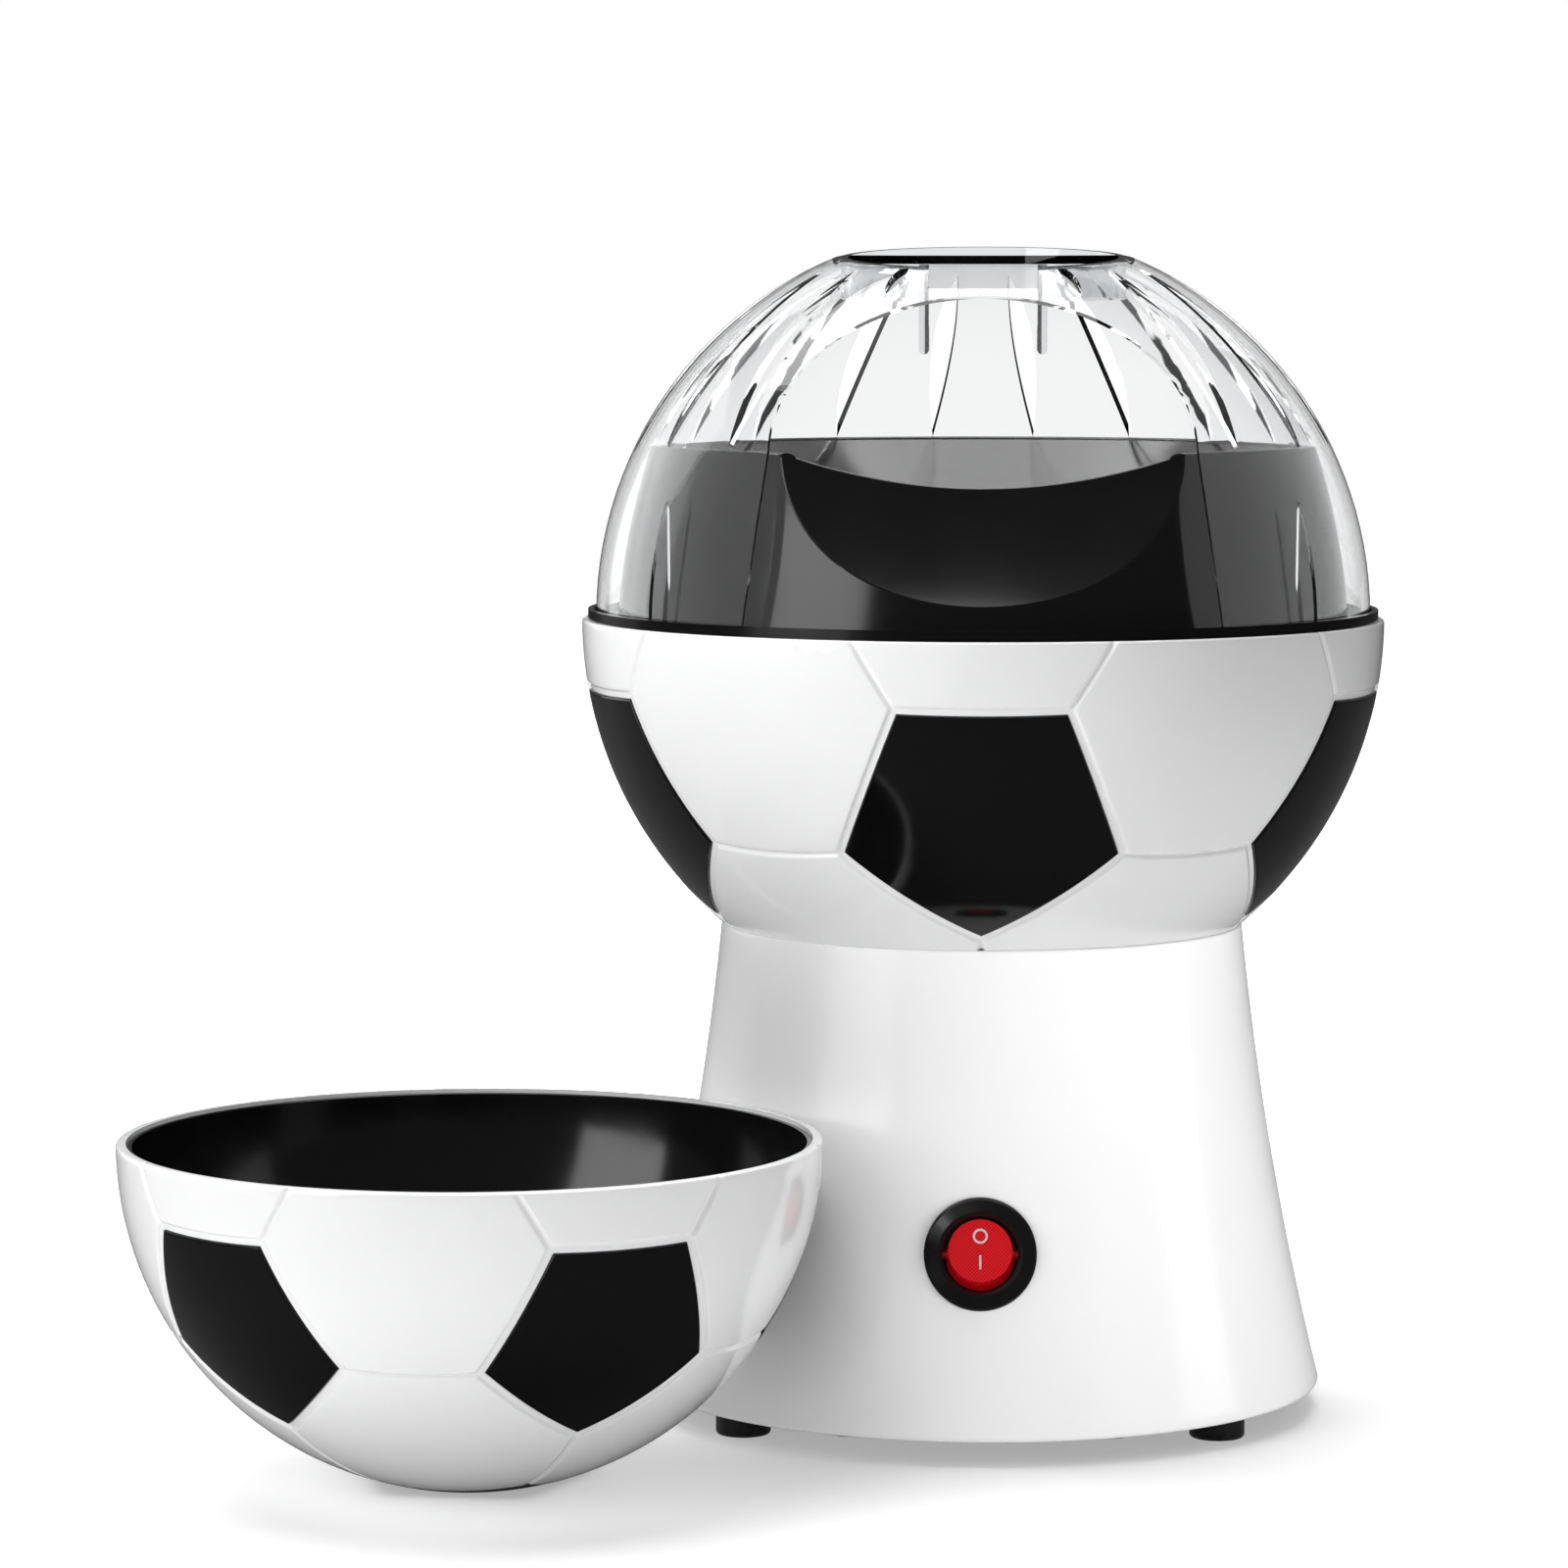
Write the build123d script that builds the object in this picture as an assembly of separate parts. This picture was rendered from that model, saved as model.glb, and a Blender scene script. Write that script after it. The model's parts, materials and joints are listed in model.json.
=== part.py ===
from build123d import *

# Hot-air popcorn maker styled as a football on a flared stand, with its matching half-ball bowl.
#
# Millimetres, +Z up. The origin is on the machine's axis at the surface it stands on, and the front,
# with the switch, the chute and the doorway, faces -Y. Azimuths are degrees from the front towards +X.

import os
from math import atan, cos, degrees, radians, sin, sqrt, tan

# ---------------------------------------------------------------- driving dimensions

# Football body
BALL_RADIUS = 100.0
BALL_CENTRE_Z = 198.0  # also the height of the white half ball's rim
BALL_WALL = 2.6
SEAT_Z = 121.8  # where the ball meets the stand

# Football pattern, shared by the ball and the bowl
PANEL_DEPTH = 1.8
PANEL_RECESS = 0.08
GROOVE_WIDTH = 2.1
GROOVE_DEPTH = 0.7

# Flared stand
STAND_WALL = 2.6
STAND_BOTTOM_Z = 6.0
STAND_TOP_RADIUS = 65.2
STAND_PULL_RADIUS = 70.9  # middle control point of the flare
STAND_FOOT_RADIUS = 85.4
FOOT_RADIUS = 6.75
FOOT_PLACES = [(58.0, -45.0), (-58.0, -45.0), (-58.0, 45.0), (58.0, 45.0)]
FOOT_NAMES = ["foot_front_right", "foot_front_left", "foot_rear_left", "foot_rear_right"]
PLATE_RADIUS = 81.4
PLATE_Z = (6.6, 9.6)

# Collector and chute
WALL_TOP_Z = 241.0
WALL_TOP_RADIUS = 82.9
WALL_FOOT_RADIUS = 91.0
WALL_MIDDLE = (88.3, 219.0)
WALL_THICKNESS = 2.2
FLANGE_TOP_Z = 199.0
FLANGE_RADIUS = 98.5
FLANGE_LIP_Z = 200.5
THROAT_RADIUS = 43.0
FUNNEL_FOOT_Z = 213.5
FUNNEL_RIM_RADIUS = 81.0
CHUTE_CENTRE = (-180.6, 289.6)  # y, z of the axis of the chute's concave slide
CHUTE_RADIUS = 123.3

# Clear dome
DOME_RADIUS = 96.5
DOME_CENTRE_Z = 198.5
DOME_WALL = 2.0
DOME_TOP_Z = 287.7
DOME_TOP_TILT = 4.5  # the top opening leans to the front
COLLAR_RADIUS = 35.5
COLLAR_FOOT_Z = 277.3
DOOR_HALF_WIDTH = 50.7
DOOR_FOOT_HALF_WIDTH = 57.5
DOOR_ARCH_HEIGHT = 36.5
RIB_AZIMUTHS = [57.0, 123.0, 237.0, 303.0]
RIB_INNER_RADIUS = 89.6
RIB_TOP_Z = 232.0
RIB_THICKNESS = 1.6
LONG_SLOTS = [45.0 + 18.0 * i for i in range(16)]
SHORT_SLOTS = [-26.0, 26.0]

# Air path, from the intake up to the popping chamber
MOTOR_RADIUS = 13.85
MOTOR_Z = (14.0, 52.0)
SHAFT_RADIUS = 1.15
BUSH_BORE = 1.2
MOUNT_Z = (52.0, 54.4)
FAN_RADIUS = 38.0
HOUSING_BORE = 40.0
HOUSING_TOP_Z = 80.0
DUCT_RADIUS = 42.0
DUCT_TOP_Z = 118.5
SLEEVE_RADIUS = 52.0
CHAMBER_RADIUS = 43.0
CHAMBER_Z = (124.0, 197.0)
DECK_Z = (188.0, 190.4)
DECK_RADIUS = 96.2

# Round rocker switch, on the front of the stand
SWITCH_Z = 50.0
BEZEL_RADIUS = 13.5
BARREL_RADIUS = 9.9
SWITCH_BORE = 9.1
ROCKER_RADIUS = 8.3
ROCKER_FACE_RADIUS = 7.6
ROCKER_PIVOT = -3.0  # depth of the pivot along the switch's own axis
ROCKER_REST_TILT = -10.0
TRUNNION_RADIUS = 1.2

# Bowl, with its own upright axis
BOWL_PLACE = (-120.0, -98.5)
BOWL_RADIUS = 83.0
BOWL_RIM_Z = 81.0
BOWL_WALL = 2.4
LINER_WALL = 1.2
BOWL_SPIN = 30.0

# Chamber deck, bosses and posts
DECK_THICKNESS = 2.6
DECK_BORE = 53.0
POST_RADIUS = 3.5
POST_RING = 47.0
POST_AZIMUTHS = [45.0, 135.0, 225.0, 315.0]
BOSS_RING = 77.0
BOSS_RADIUS = 4.5
BOSS_TOP_Z = 20.0
BOSS_AZIMUTHS = [25.0, 155.0, 205.0, 335.0]
BALL_SCREW_RING = 57.0
SCREW_AZIMUTHS = [45.0, 135.0, 225.0, 315.0]
GLAND_Z = 30.0

# Cord gland
GLAND_RADIUS = 4.9
GLAND_BORE = 3.1

# Motor
MAGNET_RADII = (10.3, 12.7)
CORE_RADIUS = 9.7
BEARING_LENGTH = 4.0

# Duct screws and heater coil
DUCT_SCREW_RING = 45.0
DUCT_SCREW_AZIMUTHS = [0.0, 120.0, 240.0]
COIL_LEVELS = [88.0, 94.0, 100.0, 106.0]
COIL_WIRE = 0.7
COIL_RADII = [20.0, 31.0]

# Lug recesses
LUG_RING = 90.0

# Funnel skin and rim
FUNNEL_SKIN = 2.6
RIM_ROUND = 0.8
CHUTE_WALL_ROUND = 0.8  # where the chute meets the outer wall
CHUTE_FUNNEL_ROUND = 0.6  # and where it meets the funnel

# Collar
GAP_HALF_WIDTH = 13.2
GAP_FOOT_Z = 280.0  # bottom of the notch in the dome's front, between the cheeks
COLLAR_WALL = 1.8
CHEEK_THICKNESS = 2.4
CHEEK_FOOT_Z = 264.0

# Rocker face
DISH_RADIUS = 46.0
FACE_HEIGHT = 4.2  # of the rocker's face above its pivot, at the middle

# Bowl foot
PAD_TOP_Z = 1.5

# ---------------------------------------------------------------- plain shapes


def disc(radius, bottom, top, at=(0.0, 0.0)):
    """Upright cylinder between two heights."""
    return Pos(at[0], at[1], bottom) * Cylinder(
        radius, top - bottom, align=(Align.CENTER, Align.CENTER, Align.MIN)
    )


def ring(inner, outer, bottom, top, at=(0.0, 0.0)):
    """Upright tube between two heights."""
    return disc(outer, bottom, top, at) - disc(inner, bottom - 1, top + 1, at)


def block(x_range, y_range, z_range):
    """Box between two corners, given as ranges along each axis."""
    size = [high - low for low, high in (x_range, y_range, z_range)]
    corner = (x_range[0], y_range[0], z_range[0])
    return Pos(*corner) * Box(*size, align=(Align.MIN, Align.MIN, Align.MIN))


def turned(*outline):
    """Solid turned about Z from joined outline curves drawn as (radius, height)."""
    return revolve(Plane.XZ * make_face(Curve() + list(outline)), Axis.Z)


def group(solids):
    """Several separate solids kept together as one sub-part."""
    return Compound(children=list(solids))


def spot(radius, azimuth, z=0.0):
    """Place on a circle about the machine's axis."""
    angle = radians(azimuth)
    return Vector(radius * sin(angle), -radius * cos(angle), z)


def facing(radius, azimuth, z=0.0, rise=0.0):
    """Frame with its z pointing outward at an azimuth, raised by an elevation, and its x level."""
    angle = radians(azimuth)
    lift = radians(rise)
    outward = Vector(sin(angle) * cos(lift), -cos(angle) * cos(lift), sin(lift))
    return Plane(spot(radius, azimuth, z), (cos(angle), sin(angle), 0), outward)


def wall_frame(azimuth, z):
    """Frame on the stand's outer skin, with its z along the outward normal."""
    flare = degrees(atan((stand_radius(z - 1) - stand_radius(z + 1)) / 2))
    return facing(stand_radius(z), azimuth, z, flare)


def stand_radius(z):
    """Radius of the stand's outer skin at a height, on its parabolic flare."""
    drop = (SEAT_Z - z) / (SEAT_Z - STAND_BOTTOM_Z)
    top = STAND_TOP_RADIUS * (1 - drop) ** 2
    return top + 2 * STAND_PULL_RADIUS * drop * (1 - drop) + STAND_FOOT_RADIUS * drop**2


def sphere_radius_at(radius, height):
    """Radius of a sphere's circle at a height above or below its centre."""
    return sqrt(radius**2 - height**2)


# ---------------------------------------------------------------- football pattern

RING_LATITUDE = degrees(atan(0.5))  # of an icosahedron's two rings of corners
CORNER_ANGLE = radians(20.076)  # from a pentagon's centre to its corners
SIDE_ANGLE = atan(tan(CORNER_ANGLE) * cos(radians(36)))  # and to the middles of its sides


def heading(azimuth, latitude):
    """Unit direction out of a ball's centre."""
    level = cos(radians(latitude))
    angle = radians(azimuth)
    return Vector(level * sin(angle), -level * cos(angle), sin(radians(latitude)))


class Football:
    """Panel pattern of a football: a truncated icosahedron blown up to a sphere."""

    def __init__(self, centre, radius, spin):
        self.centre = Vector(*centre)
        self.radius = radius
        self.lower = [heading(spin + 72 * i, -RING_LATITUDE) for i in range(5)]
        self.upper = [heading(spin + 36 + 72 * i, RING_LATITUDE) for i in range(5)]
        self.pole = Vector(0, 0, -1)

    def sphere(self, radius):
        return Pos(*self.centre) * Sphere(radius)

    def corners(self, middle, neighbours):
        """Corner directions of the pentagon about one direction, in order."""
        return [(middle * 2 + neighbour).normalized() for neighbour in neighbours]

    def pentagon(self, index):
        """Centre and corner directions of one pentagon of the lower ring."""
        around = [
            self.pole,
            self.lower[(index + 1) % 5],
            self.upper[index],
            self.upper[index - 1],
            self.lower[index - 1],
        ]
        return self.lower[index], self.corners(self.lower[index], around)

    def pole_pentagon(self):
        return self.pole, self.corners(self.pole, self.lower)

    def pyramid(self, pentagon, margin):
        """Pyramid from near the ball's centre through a pentagon grown all round by a margin."""
        middle, corners = pentagon
        growth = tan(SIDE_ANGLE + margin / self.radius) / tan(SIDE_ANGLE)
        wires = []
        for distance in (0.5 * self.radius, 1.1 * self.radius):
            axis_point = middle * distance
            points = []
            for corner in corners:
                flat = corner * (distance / corner.dot(middle))
                points.append(self.centre + axis_point + (flat - axis_point) * growth)
            wires.append(Wire.make_polygon(points, close=True))
        return Solid.make_loft(wires, ruled=True)

    def layer(self, outer, inner):
        return self.sphere(outer) - self.sphere(inner)

    def panel(self, pentagon):
        """One black pentagon, as a curved plate that fills its pocket."""
        skin = self.layer(self.radius - PANEL_RECESS, self.radius - PANEL_DEPTH)
        return skin & self.pyramid(pentagon, 0.0)

    def pocket(self, pentagon):
        """What one pentagon takes out of the white shell: its seat, and the groove around it."""
        seat = self.layer(self.radius + 1, self.radius - PANEL_DEPTH)
        groove = self.layer(self.radius + 1, self.radius - GROOVE_DEPTH)
        seat = seat & self.pyramid(pentagon, 0.05)
        return seat + (groove & self.pyramid(pentagon, GROOVE_WIDTH))

    def seam(self, start, end):
        """Rounded groove along the great circle from one corner direction to another."""
        half = GROOVE_WIDTH / 2
        section = (half**2 + GROOVE_DEPTH**2) / (2 * GROOVE_DEPTH)
        reach = self.radius + section - GROOVE_DEPTH
        normal = start.cross(end).normalized()
        frame = Plane(self.centre + start * reach, start, normal.cross(start))
        sweep = radians(start.get_angle(end))
        axis = Axis(self.centre, normal)
        return revolve(frame * Circle(section), axis, degrees(sweep))

    def seams(self, with_foot):
        """Grooves between the white panels, each from one pentagon's corner to the next's."""
        pairs = []
        for i in range(5):
            pairs.append((self.lower[i], self.lower[(i + 1) % 5]))
            pairs.append((self.lower[i], self.upper[i]))
            pairs.append((self.lower[i], self.upper[i - 1]))
            if with_foot:
                pairs.append((self.lower[i], self.pole))
        grooves = []
        for first, second in pairs:
            start = (first * 2 + second).normalized()
            end = (second * 2 + first).normalized()
            grooves.append(self.seam(start, end))
        return grooves

    def decorate(self, shell, pentagons, with_foot):
        """White shell with every pocket and seam cut into it."""
        for pentagon in pentagons:
            shell = shell - self.pocket(pentagon)
        for groove in self.seams(with_foot):
            shell = shell - groove
        return shell


# ---------------------------------------------------------------- stand


def flare(inset, bottom, top):
    """Solid turned from the stand's flare, moved inward by a wall thickness."""
    middle = (stand_radius(bottom) + stand_radius(top)) / 2
    bow = 2 * (middle - stand_radius((bottom + top) / 2))
    side = Bezier(
        (stand_radius(top) - inset, top),
        (middle - bow - inset, (bottom + top) / 2),
        (stand_radius(bottom) - inset, bottom),
    )
    rest = Polyline(
        (stand_radius(bottom) - inset, bottom), (0, bottom), (0, top), (stand_radius(top) - inset, top)
    )
    return turned(side, rest)


def base_shell():
    """Flared white housing, open below, with a deck that carries the ball."""
    shell = flare(0, STAND_BOTTOM_Z, SEAT_Z)
    lowest = shell.edges().filter_by(GeomType.CIRCLE).sort_by(Axis.Z)[0]
    shell = fillet(lowest, 1.4)
    top_rim = shell.edges().filter_by(GeomType.CIRCLE).sort_by(Axis.Z)[-1]
    shell = fillet(top_rim, 0.7)
    shell = shell - flare(STAND_WALL, STAND_BOTTOM_Z - 1, SEAT_Z - DECK_THICKNESS)
    shell = shell - disc(DECK_BORE, SEAT_Z - 5, SEAT_Z + 1)
    inside = flare(STAND_WALL / 2, STAND_BOTTOM_Z, SEAT_Z)
    for azimuth in BOSS_AZIMUTHS:
        centre = spot(BOSS_RING, azimuth)
        boss = ring(1.3, BOSS_RADIUS, PLATE_Z[1], BOSS_TOP_Z, (centre.X, centre.Y))
        shell = shell + (boss & inside)
    for azimuth in SCREW_AZIMUTHS:
        centre = spot(BALL_SCREW_RING, azimuth)
        shell = shell - disc(1.3, SEAT_Z - 5, SEAT_Z + 1, (centre.X, centre.Y))
    front = wall_frame(0, SWITCH_Z)
    seat = Pos(0, 0, -1.2) * Cylinder(BEZEL_RADIUS + 0.1, 10, align=(Align.CENTER, Align.CENTER, Align.MIN))
    shell = shell - front.location * seat - front.location * Cylinder(BARREL_RADIUS + 0.1, 20)
    back = wall_frame(180, GLAND_Z)
    return shell - back.location * Cylinder(GLAND_RADIUS + 0.1, 20)


def base_plate():
    """Black floor of the stand, with an air intake, four posts for the motor mount and holes."""
    low, high = PLATE_Z
    plate = disc(PLATE_RADIUS, low, high)
    for radius, count in ((34.0, 22), (22.0, 14)):
        for i in range(count):
            slot = facing(radius, 360 / count * i, low).location * Box(3.0, 10.0, 9.0)
            plate = plate - slot
    for azimuth in POST_AZIMUTHS:
        centre = spot(POST_RING, azimuth)
        place = (centre.X, centre.Y)
        plate = plate + disc(POST_RADIUS, high - 0.5, MOUNT_Z[0], place)
        plate = plate - disc(1.2, MOUNT_Z[0] - 12, MOUNT_Z[0] + 1, place)
    for azimuth in BOSS_AZIMUTHS:
        centre = spot(BOSS_RING, azimuth)
        plate = plate - disc(1.6, low - 1, high + 1, (centre.X, centre.Y))
    for place in FOOT_PLACES:
        plate = plate - disc(3.05, low - 1, high + 1, place)
    return plate


def foot(place):
    """Rubber foot: a rounded pad with a stem pushed up into the plate."""
    pad = disc(FOOT_RADIUS, 0, PLATE_Z[0], place)
    pad = fillet(pad.edges().sort_by(Axis.Z)[0], 1.0)
    return pad + disc(3.0, PLATE_Z[0] - 0.5, PLATE_Z[1], place)


def screw(place, head_bottom, shank_end, head=2.8, shank=1.2, head_height=1.8):
    """Pan-head screw along Z: its shank runs from under the head to shank_end, up or down."""
    low, high = sorted((head_bottom, shank_end))
    pin = disc(shank, low, high, place)
    upward = shank_end > head_bottom
    base = head_bottom - head_height if upward else head_bottom
    cap = disc(head, base, base + head_height, place)
    outer_face = Axis.Z if upward else -Axis.Z
    cap = fillet(cap.edges().filter_by(GeomType.CIRCLE).sort_by(outer_face)[0], 0.7)
    middle = base if upward else base + head_height
    for turn in (0, 90):
        cap = cap - Pos(place[0], place[1], middle) * Rot(0, 0, turn) * Box(3.0, 0.7, 1.8)
    return pin + cap


def screw_set(radius, azimuths, head_bottom, shank_end, **sizes):
    screws = []
    for azimuth in azimuths:
        centre = spot(radius, azimuth)
        screws.append(screw((centre.X, centre.Y), head_bottom, shank_end, **sizes))
    return group(screws)


def cord_gland():
    """Black bushing in the back wall where the supply cord goes in."""
    collar = Pos(0, 0, 0.9) * Cylinder(7.5, 2.4, align=(Align.CENTER, Align.CENTER, Align.MIN))
    collar = fillet(collar.edges().filter_by(GeomType.CIRCLE).sort_by(Axis.Z)[-1], 1.0)
    sleeve = Pos(0, 0, -7.0) * Cylinder(GLAND_RADIUS, 8.5, align=(Align.CENTER, Align.CENTER, Align.MIN))
    bushing = collar + sleeve - Cylinder(GLAND_BORE, 30)
    return wall_frame(180, GLAND_Z).location * bushing


# ---------------------------------------------------------------- motor and fan


def motor_can():
    """Steel cup, closed at the top except for the bearing's neck."""
    low, high = MOTOR_Z
    cup = disc(MOTOR_RADIUS, low, high) - disc(MOTOR_RADIUS - 1.0, low - 1, high - 1.2)
    cup = cup + disc(5.0, high - 1.2, high + 2.2) - disc(3.5, high - 5, high + 5)
    for side in (-1, 1):
        cup = cup - disc(1.25, high - 4, high + 4, (side * 8.5, 0))
    return cup


def motor_end_bell():
    """Plastic end cap with its bearing seat and two solder tags."""
    low = MOTOR_Z[0]
    cap = ring(3.0, MOTOR_RADIUS - 1.05, low + 0.2, low + 4.2)
    for side in (-1, 1):
        cap = cap + block((side * 8 - 1.2, side * 8 + 1.2), (-0.4, 0.4), (low - 2.6, low + 0.4))
    return cap


def motor_magnets():
    """Two curved magnets inside the can, with gaps between them."""
    inner, outer = MAGNET_RADII
    tube = ring(inner, outer, MOTOR_Z[0] + 9, MOTOR_Z[1] - 6)
    halves = tube - Box(60, 7, 200)
    return group(halves.solids())


def armature():
    """Laminated three-pole core and its commutator, fixed on the shaft."""
    core = disc(CORE_RADIUS, 25, 43)
    for i in range(3):
        slot = Pos(0, 0, 34) * Rot(0, 0, 120 * i) * Pos(7.4, 0, 0) * Box(5.6, 1.6, 30)
        core = core - slot
        bay = Pos(0, 0, 34) * Rot(0, 0, 120 * i) * Pos(5.6, 0, 0) * Cylinder(2.3, 30)
        core = core - bay
    core = core + disc(3.4, 19.5, 25.5)
    return core - disc(SHAFT_RADIUS, 10, 60)


def bearing(bottom, outer):
    """Sintered bush for the motor shaft."""
    return ring(BUSH_BORE, outer, bottom, bottom + BEARING_LENGTH)


def fan_impeller():
    """Mixed-flow fan: a domed hub with nine slanted blades."""
    low, high = 57.5, 71.0
    hub = disc(8.0, low, high)
    hub = fillet(hub.edges().filter_by(GeomType.CIRCLE).sort_by(Axis.Z)[-1], 3.0)
    swept = disc(FAN_RADIUS, low, high)
    for i in range(9):
        blade = Rot(0, 0, 40 * i) * Pos(22.5, 0, (low + high) / 2) * Rot(38, 0, 0) * Box(32, 1.4, 19)
        hub = hub + (blade & swept)
    return hub - disc(SHAFT_RADIUS, low - 1, high + 1)


def motor_mount():
    """Spider that hangs the motor in the middle of the air path."""
    low, high = MOUNT_Z
    spider = ring(43.0, 51.0, low, high) + disc(14.0, low, high)
    for i in range(4):
        spider = spider + Rot(0, 0, 90 * i) * block((10, 45), (-3.5, 3.5), (low, high))
    spider = spider - disc(5.1, low - 1, high + 1)
    for side in (-1, 1):
        spider = spider - disc(1.3, low - 1, high + 1, (side * 8.5, 0))
    for azimuth in POST_AZIMUTHS:
        centre = spot(POST_RING, azimuth)
        spider = spider - disc(1.6, low - 1, high + 1, (centre.X, centre.Y))
    return spider


def fan_housing():
    """Round duct about the fan, with a flange at each end."""
    low, high = MOUNT_Z[1], HOUSING_TOP_Z
    housing = disc(42.4, low, high) + disc(51.0, low, low + 2.4) + disc(47.5, high - 2.4, high)
    housing = housing - disc(HOUSING_BORE, low - 1, high + 1)
    for azimuth in POST_AZIMUTHS:
        centre = spot(POST_RING, azimuth)
        housing = housing - disc(1.6, low - 1, low + 4, (centre.X, centre.Y))
    for azimuth in DUCT_SCREW_AZIMUTHS:
        centre = spot(DUCT_SCREW_RING, azimuth)
        housing = housing - disc(1.2, high - 4, high + 1, (centre.X, centre.Y))
    return housing


# ---------------------------------------------------------------- heater and popping chamber


def heater_duct():
    """Steel tube about the heater, with a foot flange."""
    low = HOUSING_TOP_Z
    duct = ring(DUCT_RADIUS - 1.0, DUCT_RADIUS, low, DUCT_TOP_Z)
    duct = duct + ring(DUCT_RADIUS - 1.0, 47.5, low, low + 0.8)
    for azimuth in DUCT_SCREW_AZIMUTHS:
        centre = spot(DUCT_SCREW_RING, azimuth)
        duct = duct - disc(1.4, low - 1, low + 2, (centre.X, centre.Y))
    return duct


def coil_rings(wire):
    return [
        Pos(0, 0, level) * Torus(radius, wire) for radius in COIL_RADII for level in COIL_LEVELS
    ]


def heater_coil():
    """Resistance wire: stacked rings joined by risers and one bridge."""
    low, high = COIL_LEVELS[0], COIL_LEVELS[-1]
    inner, outer = COIL_RADII
    riser = COIL_WIRE + 0.25
    coil = facing(inner, 25, high).location * Cylinder(
        riser, outer - inner, align=(Align.CENTER, Align.CENTER, Align.MIN)
    )
    for radius in COIL_RADII:
        centre = spot(radius, 25)
        coil = coil + disc(riser, low - 2, high + 2, (centre.X, centre.Y))
    for turn in coil_rings(COIL_WIRE):
        coil = coil + turn
    return coil


def mica_card(turn, slot_from_top):
    """One of two insulating cards that cross and carry the coil through their holes."""
    low, high = 82.0, 112.0
    card = block((-40.6, 40.6), (-0.5, 0.5), (low, high))
    middle = (low + high) / 2
    slot = (middle, high + 1) if slot_from_top else (low - 1, middle)
    card = card - block((-0.55, 0.55), (-2, 2), slot)
    card = Rot(0, 0, turn) * card
    for turn_of_wire in coil_rings(COIL_WIRE + 0.15):
        card = card - turn_of_wire
    return card


def thermostat():
    """Bimetal cut-out on the chamber's sleeve, with two spade tags."""
    can = Cylinder(8.0, 5.0, align=(Align.CENTER, Align.CENTER, Align.MIN))
    can = can + Pos(0, 0, 4.5) * Cylinder(7.0, 4.5, align=(Align.CENTER, Align.CENTER, Align.MIN))
    can = can + Box(22, 7, 0.8, align=(Align.CENTER, Align.CENTER, Align.MIN))
    for side in (-1, 1):
        can = can + Pos(side * 3.5, 0, 8.5) * Box(0.8, 6.3, 8, align=(Align.CENTER, Align.CENTER, Align.MIN))
    return facing(SLEEVE_RADIUS, 150, 152).location * can


def thermal_fuse():
    """One-shot fuse lying against the heater duct, with its two leads."""
    body = Cylinder(2.0, 11.0) + Cylinder(0.5, 24.0)
    return facing(DUCT_RADIUS + 2.05, 90, 98).location * Rot(90, 0, 0) * body


def rectifier_board():
    """Small board that feeds the motor, on two printed posts."""
    board = block((-16, 16), (51, 69), (18.0, 19.6))
    for side in (-1, 1):
        board = board + disc(1.6, PLATE_Z[1], 18.2, (side * 13, 60))
    return board


def board_parts():
    """Four diodes and a capacitor on the board."""
    parts = []
    for i in range(4):
        parts.append(Pos(-11 + 4.2 * i, 60, 21.0) * Rot(90, 0, 0) * Cylinder(1.4, 7.5))
    parts.append(disc(4.4, 19.6, 31.0, (9.5, 60)))
    return group(parts)


def chamber_sleeve():
    """Steel jacket about the popping chamber: hot air rises between the two."""
    sleeve = ring(SLEEVE_RADIUS - 1.0, SLEEVE_RADIUS, DUCT_TOP_Z, DECK_Z[0])
    sleeve = sleeve + ring(DUCT_RADIUS - 1.0, SLEEVE_RADIUS, DUCT_TOP_Z, DUCT_TOP_Z + 0.8)
    low = SEAT_Z + DECK_THICKNESS
    sleeve = sleeve + ring(SLEEVE_RADIUS - 0.5, 62.0, low, low + 0.8)
    for azimuth in SCREW_AZIMUTHS:
        centre = spot(BALL_SCREW_RING, azimuth)
        sleeve = sleeve - disc(1.6, low - 1, low + 2, (centre.X, centre.Y))
    return sleeve


def popping_chamber():
    """Aluminium cup with a coned floor and slanted air slots low in its wall."""
    low, high = CHAMBER_Z
    radius = CHAMBER_RADIUS
    outline = Polyline(
        (0, low + 8),
        (10, low + 6),
        (radius - 6, low),
        (radius, low + 5),
        (radius, high - 1),
        (radius + 4, high - 1),
        (radius + 4, high),
        (radius - 1, high),
        (radius - 1, low + 5.6),
        (radius - 6.5, low + 1),
        (10, low + 7.1),
        (0, low + 9.1),
        close=True,
    )
    cup = turned(outline)
    for i in range(18):
        slot = facing(radius, 20 * i, low + 13).location * Rot(0, 0, 32) * Box(1.8, 13, 8)
        cup = cup - slot
    return cup


def chamber_deck():
    """Black deck across the ball, with a neck that holds the chamber's flange."""
    low, high = DECK_Z
    deck = disc(DECK_RADIUS, low, high) + disc(47.4, low, CHAMBER_Z[1] - 1)
    deck = deck - disc(CHAMBER_RADIUS + 0.3, low - 1, CHAMBER_Z[1] + 1)
    for azimuth in SCREW_AZIMUTHS:
        centre = spot(LUG_RING, azimuth)
        deck = deck - disc(1.6, low - 1, high + 1, (centre.X, centre.Y))
    return deck


# ---------------------------------------------------------------- ball

BALL = Football((0, 0, BALL_CENTRE_Z), BALL_RADIUS, 0)
PANEL_NAMES = ["front", "front_right", "rear_right", "rear_left", "front_left"]


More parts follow.
